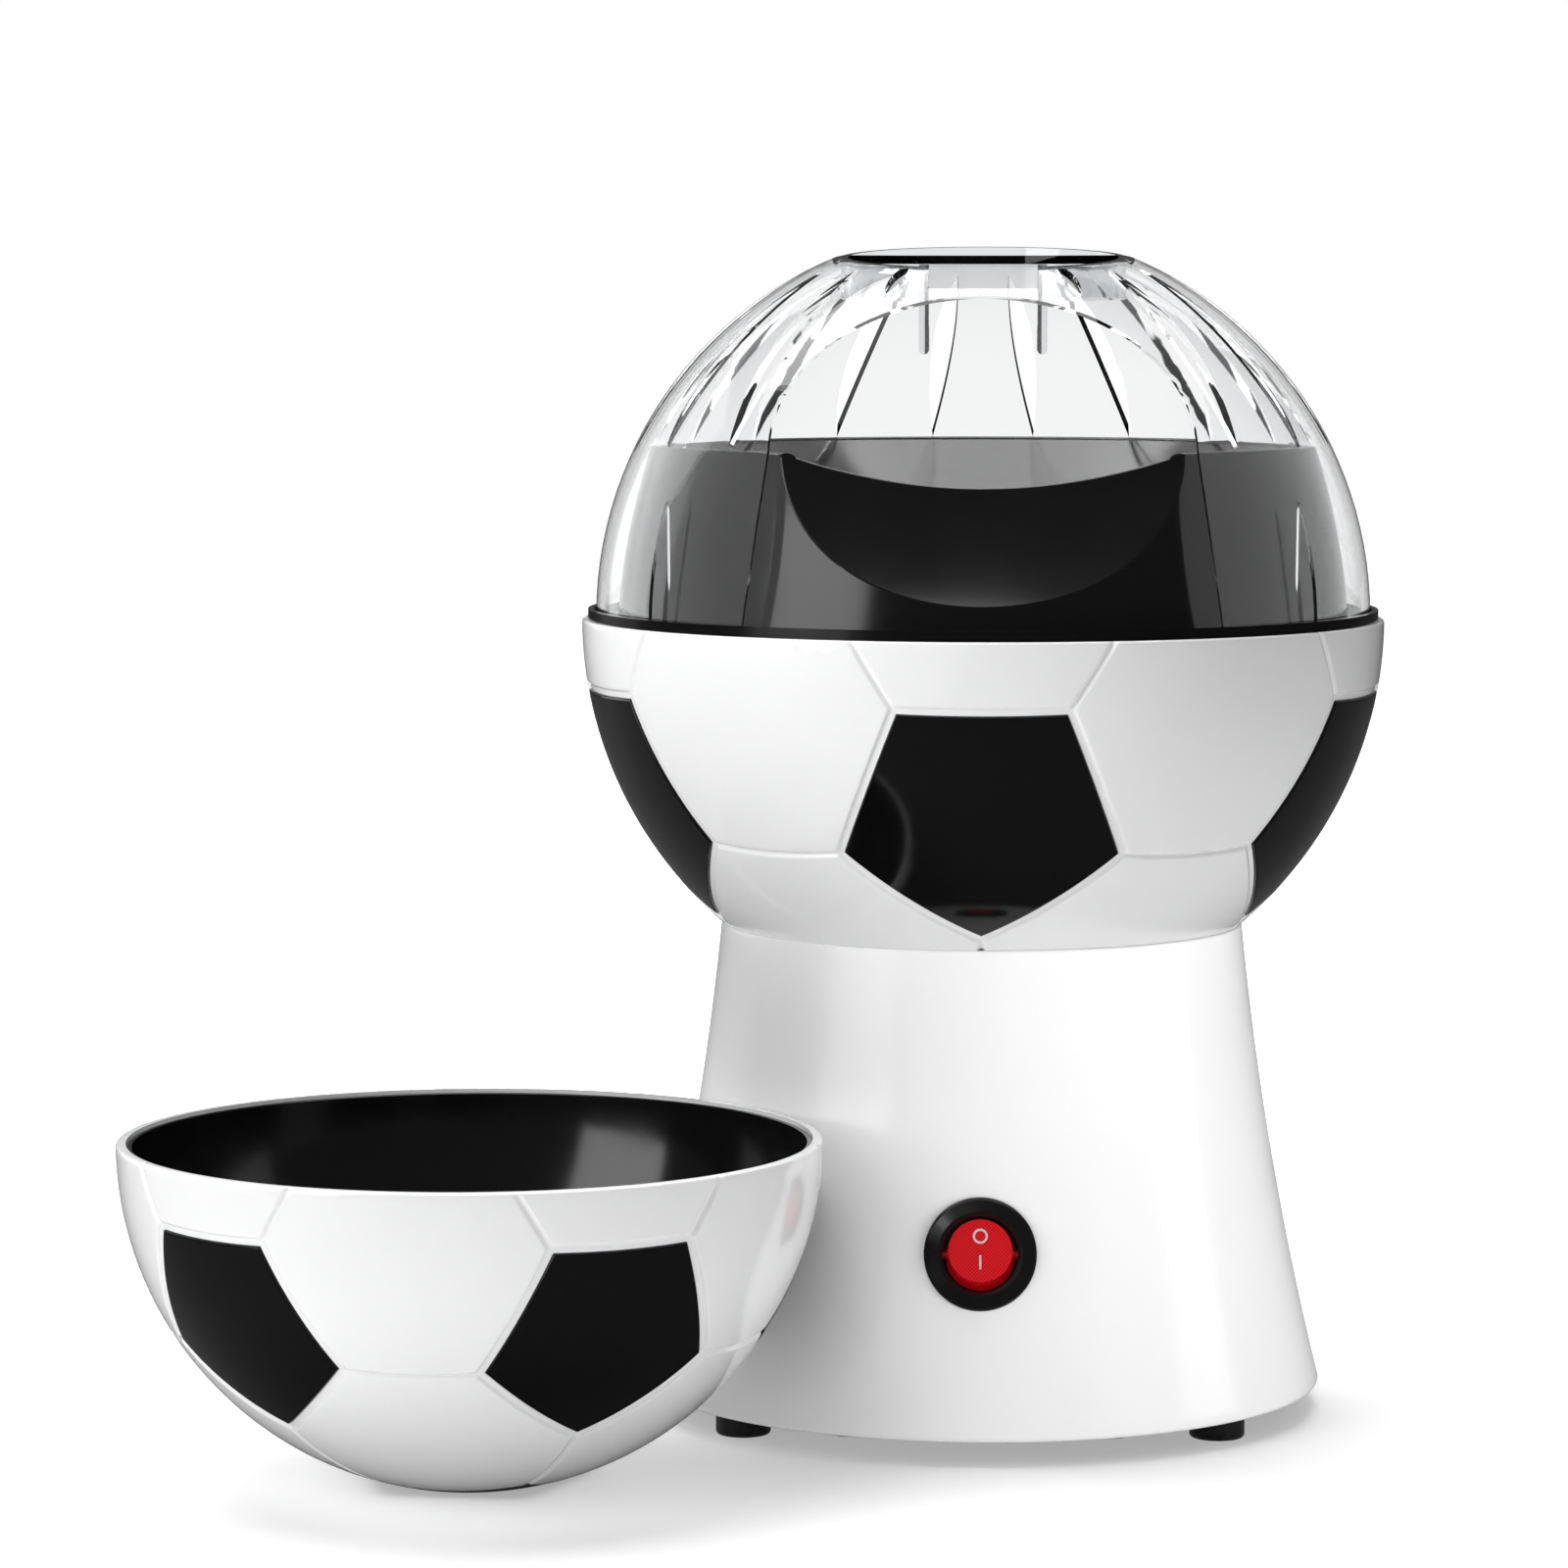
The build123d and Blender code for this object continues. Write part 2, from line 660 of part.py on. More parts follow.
def half_ball(centre_z, radius, wall, cut_z, floor, bore):
    """White half ball with its rim at its centre's height, a flat floor ring and a rounded rim."""
    skin = Pos(0, 0, centre_z) * (Sphere(radius) - Sphere(radius - wall))
    skin = skin & disc(radius + 5, cut_z, centre_z)
    rims = skin.edges().filter_by(GeomType.CIRCLE).group_by(Axis.Z)[-1]
    skin = fillet(rims, 0.7)
    inside = sphere_radius_at(radius - wall / 2, cut_z + floor - centre_z)
    return skin + ring(bore, inside, cut_z, cut_z + floor)


def ball_shell():
    """Lower half of the football, with four lugs inside for the deck."""
    shell = half_ball(BALL_CENTRE_Z, BALL_RADIUS, BALL_WALL, SEAT_Z, DECK_THICKNESS, DECK_BORE)
    solid = BALL.sphere(BALL_RADIUS - BALL_WALL / 2)
    for azimuth in SCREW_AZIMUTHS:
        lug = facing(LUG_RING, azimuth, DECK_Z[0] - 4).location * Box(9, 8, 16)
        hole_place = spot(LUG_RING, azimuth)
        hole = disc(1.2, DECK_Z[0] - 10, DECK_Z[0] + 1, (hole_place.X, hole_place.Y))
        shell = shell + ((lug & solid) - hole)
        place = spot(BALL_SCREW_RING, azimuth)
        shell = shell - disc(1.6, SEAT_Z - 1, SEAT_Z + 5, (place.X, place.Y))
    pentagons = [BALL.pentagon(i) for i in range(5)]
    return BALL.decorate(shell, pentagons, with_foot=True)


def ball_panel(index):
    """One black pentagon of the ball."""
    above_seat = disc(BALL_RADIUS, SEAT_Z + 0.3, BALL_CENTRE_Z)
    return BALL.panel(BALL.pentagon(index)) & above_seat


# ---------------------------------------------------------------- collector


def funnel_z(radius):
    """Height of the funnel's upper face at a radius."""
    slope = (WALL_TOP_Z - FUNNEL_FOOT_Z) / (FUNNEL_RIM_RADIUS - THROAT_RADIUS)
    return FUNNEL_FOOT_Z + (radius - THROAT_RADIUS) * slope


def chute_cylinder(radius):
    """Cylinder across the machine whose skin is the chute's slide, above the flange."""
    y, z = CHUTE_CENTRE
    roller = Pos(0, y, z) * Rot(0, 90, 0) * Cylinder(radius, 140)
    return roller & disc(WALL_FOOT_RADIUS + 1, FLANGE_TOP_Z, WALL_TOP_Z + 20)


def collector():
    """Black funnel that catches the popcorn, with a front chute and the flange it rests on."""
    throat_z = CHAMBER_Z[1] + 0.5
    rim_z = WALL_TOP_Z - RIM_ROUND
    rim_middle = (FUNNEL_RIM_RADIUS + WALL_TOP_RADIUS) / 2
    rim = ThreePointArc((FUNNEL_RIM_RADIUS, rim_z), (rim_middle, WALL_TOP_Z), (WALL_TOP_RADIUS, rim_z))
    outer_wall = ThreePointArc((WALL_TOP_RADIUS, rim_z), WALL_MIDDLE, (WALL_FOOT_RADIUS, FLANGE_TOP_Z))
    skirt = Polyline(
        (WALL_FOOT_RADIUS, FLANGE_TOP_Z),
        (97.0, FLANGE_TOP_Z),
        (97.0, FLANGE_LIP_Z),
        (FLANGE_RADIUS, FLANGE_LIP_Z),
        (FLANGE_RADIUS, BALL_CENTRE_Z),
        (96.6, BALL_CENTRE_Z),
        (96.6, 194.5),
        (94.8, 194.5),
        (94.8, 196.6),
        (THROAT_RADIUS, 196.6),
        (THROAT_RADIUS, FUNNEL_FOOT_Z),
        (FUNNEL_RIM_RADIUS, rim_z),
    )
    body = turned(rim, outer_wall, skirt) - chute_cylinder(CHUTE_RADIUS)
    body = fillet(chute_edges(body)[-1], CHUTE_WALL_ROUND)
    body = fillet(chute_edges(body)[0], CHUTE_FUNNEL_ROUND)
    inner_wall = ThreePointArc(
        (FUNNEL_RIM_RADIUS - 1.0, funnel_z(FUNNEL_RIM_RADIUS - 1.0) - FUNNEL_SKIN),
        (WALL_MIDDLE[0] - WALL_THICKNESS, WALL_MIDDLE[1]),
        (WALL_FOOT_RADIUS - WALL_THICKNESS, 190),
    )
    neck = THROAT_RADIUS + WALL_THICKNESS
    under = Polyline(
        (WALL_FOOT_RADIUS - WALL_THICKNESS, 190),
        (neck, 190),
        (neck, funnel_z(neck) - FUNNEL_SKIN),
        (FUNNEL_RIM_RADIUS - 1.0, funnel_z(FUNNEL_RIM_RADIUS - 1.0) - FUNNEL_SKIN),
    )
    hollow = turned(inner_wall, under)
    y, z = CHUTE_CENTRE
    hollow = hollow - Pos(0, y, z) * Rot(0, 90, 0) * Cylinder(CHUTE_RADIUS + WALL_THICKNESS, 140)
    body = body - hollow - ring(40, neck + 3, 190, throat_z)
    for azimuth in RIB_AZIMUTHS:
        key = facing(RIB_INNER_RADIUS + 1.5, azimuth, 212).location * Box(RIB_THICKNESS + 1.0, 26, 3.6)
        body = body - key
    return body


def on_slide(point):
    """True for a point on the chute's slide."""
    y, z = CHUTE_CENTRE
    reach = sqrt((point.Y - y) ** 2 + (point.Z - z) ** 2)
    return abs(reach - CHUTE_RADIUS) < 0.01


def chute_edges(body):
    """The slide's two long edges: the one with the funnel, then the one with the wall."""
    found = []
    for edge in body.edges():
        points = [edge.position_at(place) for place in (0.0, 0.5, 1.0)]
        if all(on_slide(point) for point in points) and edge.length > DOOR_HALF_WIDTH:
            found.append(edge)
    return sorted(found, key=lambda edge: edge.length)


# ---------------------------------------------------------------- dome


def vent_slot(azimuth, low, high, width):
    """Lens-shaped cutter along a meridian between two elevations."""
    middle = (low + high) / 2
    half = DOME_RADIUS * sin(radians((high - low) / 2))
    lens = make_face(
        Curve()
        + [
            ThreePointArc((0, -half), (width / 2, 0), (0, half)),
            ThreePointArc((0, half), (-width / 2, 0), (0, -half)),
        ]
    )
    reach = DOME_RADIUS * cos(radians(middle))
    height = DOME_CENTRE_Z + DOME_RADIUS * sin(radians(middle))
    frame = facing(reach, azimuth, height, middle)
    return frame.location * Pos(0, 0, -14) * extrude(lens, 22)


def doorway():
    """Cutter for the arched front doorway."""
    foot, side = DOOR_FOOT_HALF_WIDTH, DOOR_HALF_WIDTH
    sides = Polyline(
        (-side, WALL_TOP_Z),
        (-foot, FLANGE_TOP_Z - 5),
        (foot, FLANGE_TOP_Z - 5),
        (side, WALL_TOP_Z),
        close=True,
    )
    arch = Pos(0, WALL_TOP_Z) * Ellipse(side, DOOR_ARCH_HEIGHT)
    opening = make_face(sides) + arch
    return Pos(0, -20, 0) * extrude(Plane.XZ * opening, 100)


def dome():
    """Clear cover: a sphere with a hanging top collar, a doorway, vent slots and inner ribs."""
    inner = DOME_RADIUS - DOME_WALL
    ball = Pos(0, 0, DOME_CENTRE_Z) * Sphere(DOME_RADIUS)
    cavity = Pos(0, 0, DOME_CENTRE_Z) * Sphere(inner)
    shell = (ball - cavity) & disc(DOME_RADIUS, FLANGE_TOP_Z, DOME_TOP_Z + 20)
    shell = shell - above_opening() - disc(COLLAR_RADIUS - COLLAR_WALL, COLLAR_FOOT_Z, DOME_TOP_Z + 20)
    shell = shell - doorway() - notch(GAP_FOOT_Z)
    for azimuth in LONG_SLOTS:
        shell = shell - vent_slot(azimuth, 27, 63, 5.6)
    for azimuth in SHORT_SLOTS:
        shell = shell - vent_slot(azimuth, 56, 65, 3.6)
    for azimuth in RIB_AZIMUTHS:
        height = RIB_TOP_Z - FLANGE_TOP_Z
        fin = facing(RIB_INNER_RADIUS, azimuth, FLANGE_TOP_Z).location * Box(
            RIB_THICKNESS, height, 10, align=(Align.CENTER, Align.MIN, Align.MIN)
        )
        shell = shell + (fin & Pos(0, 0, DOME_CENTRE_Z) * Sphere(inner + 0.6))
    return shell + collar()


def above_opening():
    """Everything above the leaning plane of the dome's top opening."""
    upward = (Align.CENTER, Align.CENTER, Align.MIN)
    return Pos(0, 0, DOME_TOP_Z) * Rot(DOME_TOP_TILT, 0, 0) * Cylinder(DOME_RADIUS, 30, align=upward)


def notch(foot_z):
    """Cutter for the front gap between the two cheeks, from a height upward."""
    return block((-GAP_HALF_WIDTH, GAP_HALF_WIDTH), (-60, -20), (foot_z, DOME_TOP_Z + 5))


def collar():
    """Tube that hangs from the dome's top opening, split at the front between two cheeks."""
    tube = ring(COLLAR_RADIUS - COLLAR_WALL, COLLAR_RADIUS, COLLAR_FOOT_Z, DOME_TOP_Z + 5) - above_opening()
    tube = tube - notch(COLLAR_FOOT_Z - 1)
    for side in (-1, 1):
        inner, outer = sorted((side * GAP_HALF_WIDTH, side * (GAP_HALF_WIDTH + CHEEK_THICKNESS)))
        cheek = block((inner, outer), (-COLLAR_RADIUS + 2.0, -24.0), (CHEEK_FOOT_Z, DOME_TOP_Z + 5))
        cheek = fillet(cheek.edges().filter_by(Axis.Y).group_by(Axis.Z)[0], CHEEK_THICKNESS / 2 - 0.1)
        tube = tube + (cheek - above_opening())
    return tube


# ---------------------------------------------------------------- switch


def switch_housing():
    """Black bezel and barrel in one moulding, with a bore for the rocker and its trunnions."""
    rim = Polyline((13.5, -1.2), (13.5, 0.7), (12.9, 1.3), (10.2, 2.7), (9.7, 2.6), (9.1, 2.0))
    rest = Polyline((9.1, 2.0), (0, 2.0), (0, -1.2), (13.5, -1.2))
    flange = turned(rim, rest)
    barrel = Pos(0, 0, -19) * Cylinder(BARREL_RADIUS, 18.5, align=(Align.CENTER, Align.CENTER, Align.MIN))
    body = flange + barrel
    body = body - Pos(0, 0, -9.2) * Cylinder(SWITCH_BORE, 20, align=(Align.CENTER, Align.CENTER, Align.MIN))
    trunnion_bore = Pos(0, 0, ROCKER_PIVOT) * Rot(0, 90, 0) * Cylinder(TRUNNION_RADIUS + 0.05, 19)
    body = body - trunnion_bore
    return wall_frame(0, SWITCH_Z).location * body


def switch_terminals():
    """Three spade terminals at the back of the barrel."""
    blades = []
    for x in (-6, 0, 6):
        blades.append(Pos(x, 0, -29) * Box(0.8, 4.8, 12, align=(Align.CENTER, Align.CENTER, Align.MIN)))
    frame = wall_frame(0, SWITCH_Z).location
    barrel = Pos(0, 0, -19) * Cylinder(BARREL_RADIUS, 10, align=(Align.CENTER, Align.CENTER, Align.MIN))
    return group([frame * (blade - barrel) for blade in blades])


def rocker_frame():
    """Frame at the rocker's pivot, tilted to where the rocker rests."""
    return wall_frame(0, SWITCH_Z).location * Pos(0, 0, ROCKER_PIVOT) * Rot(ROCKER_REST_TILT, 0, 0)


def dish(offset):
    """Cylinder across the rocker whose skin is its hollow face, or a skin offset from it."""
    return Pos(0, 0, FACE_HEIGHT + DISH_RADIUS) * Rot(0, 90, 0) * Cylinder(DISH_RADIUS - offset, 30)


def rocker_blank():
    """Round button with a little draft."""
    upward = (Align.CENTER, Align.CENTER, Align.MIN)
    return Pos(0, 0, -2.6) * Cone(ROCKER_RADIUS, ROCKER_FACE_RADIUS, 7.6, align=upward)


def rocker():
    """Red button with a hollow face, rocking on two trunnions."""
    button = rocker_blank() - dish(0)
    trunnions = Rot(0, 90, 0) * Cylinder(TRUNNION_RADIUS, 2 * 9.4)
    return rocker_frame() * (button + trunnions)


def rocker_marks():
    """Printed circle and bar on the two ends of the rocker."""
    circle = Pos(0, 3.6) * (Circle(1.8) - Circle(1.28))
    bar = Pos(0, -2.7) * Rectangle(0.5, 3.4)
    print_layer = dish(0) - dish(0.12)
    marks = [extrude(shape, 12) & print_layer for shape in (circle, bar)]
    return group([rocker_frame() * mark for mark in marks])


# ---------------------------------------------------------------- bowl

BOWL = Football((0, 0, BOWL_RIM_Z), BOWL_RADIUS, BOWL_SPIN)
BOWL_PANEL_NAMES = ["a", "b", "c", "d", "e"]


def in_place(shape):
    return Pos(BOWL_PLACE[0], BOWL_PLACE[1], 0) * shape


def above_floor():
    return disc(BOWL_RADIUS + 5, 0, BOWL_RIM_Z)


def bowl_shell():
    """White half ball, open at the top, with a window at its foot for the bottom pentagon."""
    skin = BOWL.layer(BOWL_RADIUS, BOWL_RADIUS - BOWL_WALL) & above_floor()
    rims = skin.edges().filter_by(GeomType.CIRCLE).group_by(Axis.Z)[-1]
    skin = fillet(rims, 0.8)
    through = BOWL.layer(BOWL_RADIUS + 1, BOWL_RADIUS - BOWL_WALL - 1)
    window = through & BOWL.pyramid(BOWL.pole_pentagon(), 0.05)
    skin = skin - window - (window_band() & BOWL.pyramid(BOWL.pole_pentagon(), GROOVE_WIDTH))
    pentagons = [BOWL.pentagon(i) for i in range(5)]
    return in_place(BOWL.decorate(skin, pentagons, with_foot=True))


def window_band():
    return BOWL.layer(BOWL_RADIUS + 1, BOWL_RADIUS - GROOVE_DEPTH)


def bowl_panel(index):
    """One black pentagon of the bowl."""
    return in_place(BOWL.panel(BOWL.pentagon(index)))


def bowl_foot_panel():
    """Black bottom pentagon, flat where the bowl stands."""
    layer = BOWL.layer(BOWL_RADIUS - PANEL_RECESS, BOWL_RADIUS - BOWL_WALL)
    skin = layer & BOWL.pyramid(BOWL.pole_pentagon(), 0)
    pad = disc(17.0, 0, PAD_TOP_Z)
    return in_place((skin & above_floor()) + (pad & BOWL.sphere(BOWL_RADIUS - 0.5)))


def bowl_liner():
    """Glossy black inner bowl."""
    outer = BOWL_RADIUS - BOWL_WALL - 0.1
    skin = BOWL.layer(outer, outer - LINER_WALL) & disc(outer, PAD_TOP_Z + 0.05, BOWL_RIM_Z - 0.8)
    floor = disc(19.0, PAD_TOP_Z + 0.05, PAD_TOP_Z + 1.2) & BOWL.sphere(outer)
    return in_place(skin + floor)


# ---------------------------------------------------------------- all sub-parts


def sub_parts():
    """Every sub-part, as name and maker."""
    parts = {
        "base_shell": base_shell,
        "base_plate": base_plate,
        "base_screws": lambda: screw_set(BOSS_RING, BOSS_AZIMUTHS, PLATE_Z[0], BOSS_TOP_Z - 1, shank=1.25),
        "cord_gland": cord_gland,
        "motor_can": motor_can,
        "motor_end_bell": motor_end_bell,
        "motor_magnets": motor_magnets,
        "bearing_lower": lambda: bearing(MOTOR_Z[0] + 0.2, 2.95),
        "bearing_upper": lambda: bearing(MOTOR_Z[1] - 1.8, 3.45),
        "armature": armature,
        "motor_shaft": lambda: disc(SHAFT_RADIUS, 12.0, 69.5),
        "fan_impeller": fan_impeller,
        "motor_mount": motor_mount,
        "motor_screws": lambda: screw_set(
            8.5, (90, 270), MOUNT_Z[1], MOTOR_Z[1] - 1.2, head=2.2, head_height=1.6
        ),
        "fan_housing": fan_housing,
        "mount_screws": lambda: screw_set(POST_RING, POST_AZIMUTHS, MOUNT_Z[1] + 2.4, MOUNT_Z[0] - 10),
        "heater_duct": heater_duct,
        "duct_screws": lambda: screw_set(
            DUCT_SCREW_RING, DUCT_SCREW_AZIMUTHS, HOUSING_TOP_Z + 0.8, HOUSING_TOP_Z - 3.5, head=2.4
        ),
        "heater_coil": heater_coil,
        "mica_card_a": lambda: mica_card(0, True),
        "mica_card_b": lambda: mica_card(90, False),
        "thermostat": thermostat,
        "thermal_fuse": thermal_fuse,
        "rectifier_board": rectifier_board,
        "board_parts": board_parts,
        "chamber_sleeve": chamber_sleeve,
        "popping_chamber": popping_chamber,
        "chamber_deck": chamber_deck,
        "ball_shell": ball_shell,
        "ball_screws": lambda: screw_set(
            BALL_SCREW_RING, SCREW_AZIMUTHS, SEAT_Z + DECK_THICKNESS + 0.8, SEAT_Z - DECK_THICKNESS
        ),
        "deck_screws": lambda: screw_set(LUG_RING, SCREW_AZIMUTHS, DECK_Z[1], DECK_Z[0] - 8),
        "collector": collector,
        "dome": dome,
        "switch_housing": switch_housing,
        "switch_terminals": switch_terminals,
        "rocker": rocker,
        "rocker_marks": rocker_marks,
        "bowl_shell": bowl_shell,
        "bowl_liner": bowl_liner,
        "bowl_foot_panel": bowl_foot_panel,
    }
    for name, place in zip(FOOT_NAMES, FOOT_PLACES):
        parts[name] = lambda place=place: foot(place)
    for index, name in enumerate(PANEL_NAMES):
        parts["ball_panel_" + name] = lambda index=index: ball_panel(index)
    for index, name in enumerate(BOWL_PANEL_NAMES):
        parts["bowl_panel_" + name] = lambda index=index: bowl_panel(index)
    return parts


os.makedirs("parts", exist_ok=True)
for part_name, make in sub_parts().items():
    export_step(make(), "parts/" + part_name + ".step")
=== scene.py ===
import bmesh
import bpy
import json
import numpy as np
from math import atan, cos, pi, radians, sin, tan
from mathutils import Matrix, Vector

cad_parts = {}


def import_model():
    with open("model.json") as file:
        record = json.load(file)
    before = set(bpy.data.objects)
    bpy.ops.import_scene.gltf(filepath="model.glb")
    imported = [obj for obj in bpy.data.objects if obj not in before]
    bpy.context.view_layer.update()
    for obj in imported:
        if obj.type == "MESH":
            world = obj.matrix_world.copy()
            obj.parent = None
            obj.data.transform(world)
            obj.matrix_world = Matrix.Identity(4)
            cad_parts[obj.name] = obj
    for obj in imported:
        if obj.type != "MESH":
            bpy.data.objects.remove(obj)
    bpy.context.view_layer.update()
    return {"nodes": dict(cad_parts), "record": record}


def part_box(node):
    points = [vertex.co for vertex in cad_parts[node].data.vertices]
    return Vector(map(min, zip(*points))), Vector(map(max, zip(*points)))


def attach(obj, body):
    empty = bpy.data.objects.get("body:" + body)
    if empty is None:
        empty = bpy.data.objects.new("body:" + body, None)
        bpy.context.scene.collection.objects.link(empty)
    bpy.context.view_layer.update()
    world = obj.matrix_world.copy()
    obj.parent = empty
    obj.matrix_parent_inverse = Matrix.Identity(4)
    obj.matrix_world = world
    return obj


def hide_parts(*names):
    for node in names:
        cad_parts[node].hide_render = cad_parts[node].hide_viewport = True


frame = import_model()

MM = 0.001
SHARP_ANGLE = 35.0  # degrees; edges sharper than this are not smoothed

# ---------------------------------------------------------------- sizes, in millimetres

# Football pattern
RING_LATITUDE = atan(0.5)  # of an icosahedron's two rings of corners
NEIGHBOUR_DOT = 0.4  # two corners of an icosahedron are neighbours above this
SEAM_REACH = 0.33  # radians from a seam's middle to where the seam can still be
PENTAGON_REACH = 0.5  # a pentagon's pocket lies within this cosine of its middle
EDGE_TOLERANCE = 0.001
SEAM_DEPTH = 0.62
SEAM_HALF_WIDTH = 1.15
BAND_DEPTH = 0.62  # of the flat band around a pentagon
BAND_WIDTH = 1.5
SHOULDER_WIDTH = 0.75
POCKET_DEPTH = 1.85
PANEL_FOOT = 1.75  # depth of a black panel's underside
PANEL_PROFILE = [  # (distance from the panel's edge, depth below the sphere), from its underside up
    (0.13, 1.75),
    (0.13, 0.6),
    (0.17, 0.38),
    (0.27, 0.22),
    (0.42, 0.13),
    (0.65, 0.085),
    (1.0, 0.08),
]
RING_DISTANCES = [0, 0.05, 0.25, 0.5, 0.75, 1.0, 1.2, 1.5, 1.7, 1.9, 2.1, 2.3, 2.9, 4.0]
ARC_ENDS = [0, 0.05, 0.5, 1.0, 1.5, 1.8, 2.1, 2.4, 3.2, 4.5]
ARC_MIDDLE_STEPS = 9
INNER_STEPS = 8
POLE_HEIGHT = -0.99  # below it, on the unit sphere, lies the pentagon at the foot
RIM_HEIGHT = 0.02  # panels wholly above it, on the unit sphere, are not part of the half ball
RIM_SLICES = (0.15, 0.4, 1.0)  # shares of the rim's rounding that get an edge loop

# Shell walls
BALL_WALL = 2.6
BALL_RIM_ROUND = 0.5
BOWL_WALL = 2.4
BOWL_RIM_ROUND = 0.8
LINER_WALL = 1.2
LINER_RIM_ANGLE = 0.012  # radians below level where the liner's section ends
LINER_RIM_CHAMFERS = (0.2, 0.3)  # outside and inside
LINER_STEPS = (70, 40)  # inside and outside
AXIS_GAP = 0.01  # keeps a turned section off the axis

# Flared stand
STAND_TOP_RADIUS = 65.2
STAND_PULL_RADIUS = 70.9
STAND_FOOT_RADIUS = 85.4
STAND_WALL = 2.6
STAND_TOP_ROUND = 0.7
STAND_FOOT_ROUND = 1.4
STAND_BORE = 53.0
SWITCH_HEIGHT = 50.0
SWITCH_SEAT = (13.6, -1.2)  # radius and depth of the recess behind the bezel
SWITCH_HOLE = 10.0
GLAND_HEIGHT = 30.0
GLAND_HOLE = 5.0
HOLE_REACH = (-15.0, 10.0)  # from inside the wall to outside it
STAND_STEPS = 48

# Tinted places of the dome, with painted shade on its cut edges, and the rocker's painted glow
GRID_PITCH = 0.85  # of the fine squares under the rocker's face
ROCKER_GLOW_REACH = 8.0  # the rocker's painted glow stops beyond it, where its trunnions sit unlit in the bezel
COLLAR_REACH = 37.2  # the dome's collar and cheeks lie within this radius
COLLAR_LOW_Z = 263.5
COLLAR_EDGE_Z = 287.35  # just under the collar's cut top, measured on the axis
COLLAR_EDGE_Y = -4.0
COLLAR_TILT = 4.5
GAP_EDGE_X = 14.2  # the cut edges of the collar's front gap are nearer the middle than this
GAP_EDGE_Y = -20.0  # and further forward than this

# ---------------------------------------------------------------- floor and camera, in metres and degrees

FLOOR_WHITE = (0.8, 0.8, 0.8)
FLOOR_MIRRORED = (0.06, 0.06, 0.06)  # what polished surfaces see of it
FLOOR_GLOW_SEEN = 0.38  # near the object; it grows to full white further off
FLOOR_FADE = (0.2, 0.75)  # from the machine's axis
FLOOR_GLOW_CAST = 0.02
FLOOR_GLOW_BOUNCED = 0.22  # soft light that it throws back up at the object
FLOOR_SIZE = 8.0
CAMERA_PLACE = (0.0, -1.42, 0.2816)
CAMERA_PITCH = 5.05
CAMERA_YAW = 2.0
CAMERA_LENS = 130.5

# ---------------------------------------------------------------- mesh helpers


def unit(vectors):
    """Vectors scaled to length one."""
    vectors = np.asarray(vectors, float)
    return vectors / np.linalg.norm(vectors, axis=-1, keepdims=True)


def make_piece(name, points, faces, material):
    """Mesh object from points in metres."""
    mesh = bpy.data.meshes.new(name)
    mesh.from_pydata([tuple(p) for p in points], [], [tuple(f) for f in faces])
    mesh.validate()
    piece = bpy.data.objects.new(name, mesh)
    bpy.context.scene.collection.objects.link(piece)
    finish_surface(piece, material)
    return piece


def finish_surface(piece, material):
    """Give the piece its material, and shade it smooth but for its sharp edges."""
    mesh = piece.data
    mesh.materials.clear()
    mesh.materials.append(material)
    mesh.shade_smooth()
    mesh.set_sharp_from_angle(angle=radians(SHARP_ANGLE))


def put(piece, body, slot, *nodes):
    """Hang a piece on the body it rides on and hide the CAD nodes it stands for; slot is not used."""
    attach(piece, body)
    if nodes:
        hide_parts(*nodes)
    return piece


def lathe(name, outline, material, centre=(0.0, 0.0), segments=256):
    """Ring-shaped solid turned from a closed outline of (radius, height) in millimetres."""
    angles = np.linspace(0, 2 * pi, segments, endpoint=False)
    rows = np.array([[(r * cos(a), r * sin(a), z) for a in angles] for r, z in outline])
    points = rows.reshape(-1, 3) * MM + np.array([centre[0], centre[1], 0.0])
    count = len(outline)
    faces = []
    for row in range(count):
        after = (row + 1) % count
        for i in range(segments):
            j = (i + 1) % segments
            low, high = row * segments, after * segments
            faces.append((low + i, low + j, high + j, high + i))
    return make_piece(name, points, faces, material)


def rounding(centre, radius, start, end, steps=6):
    """Points on an arc of an outline, with angles in degrees from the outward radius."""
    angles = np.radians(np.linspace(start, end, steps))
    return [(centre[0] + radius * cos(a), centre[1] + radius * sin(a)) for a in angles]


def cut(piece, cutter):
    """Take the cutter away from the piece, and remove the cutter."""
    modifier = piece.modifiers.new("cut", "BOOLEAN")
    modifier.operation = "DIFFERENCE"
    modifier.solver = "EXACT"
    modifier.object = cutter
    graph = bpy.context.evaluated_depsgraph_get()
    mesh = bpy.data.meshes.new_from_object(piece.evaluated_get(graph))
    piece.modifiers.clear()
    piece.data = mesh
    bpy.data.objects.remove(cutter)


def drum(radius, low, high, place, segments=96):
    """Plain cylinder about a placed z axis, used as a cutter, in millimetres."""
    bm = bmesh.new()
    size = {"radius1": radius * MM, "radius2": radius * MM, "depth": (high - low) * MM}
    bmesh.ops.create_cone(bm, cap_ends=True, segments=segments, **size)
    bmesh.ops.translate(bm, verts=bm.verts, vec=(0, 0, (high + low) / 2 * MM))
    bmesh.ops.transform(bm, matrix=place, verts=bm.verts)
    mesh = bpy.data.meshes.new("drum")
    bm.to_mesh(mesh)
    bm.free()
    piece = bpy.data.objects.new("drum", mesh)
    bpy.context.scene.collection.objects.link(piece)
    return piece


# ---------------------------------------------------------------- materials


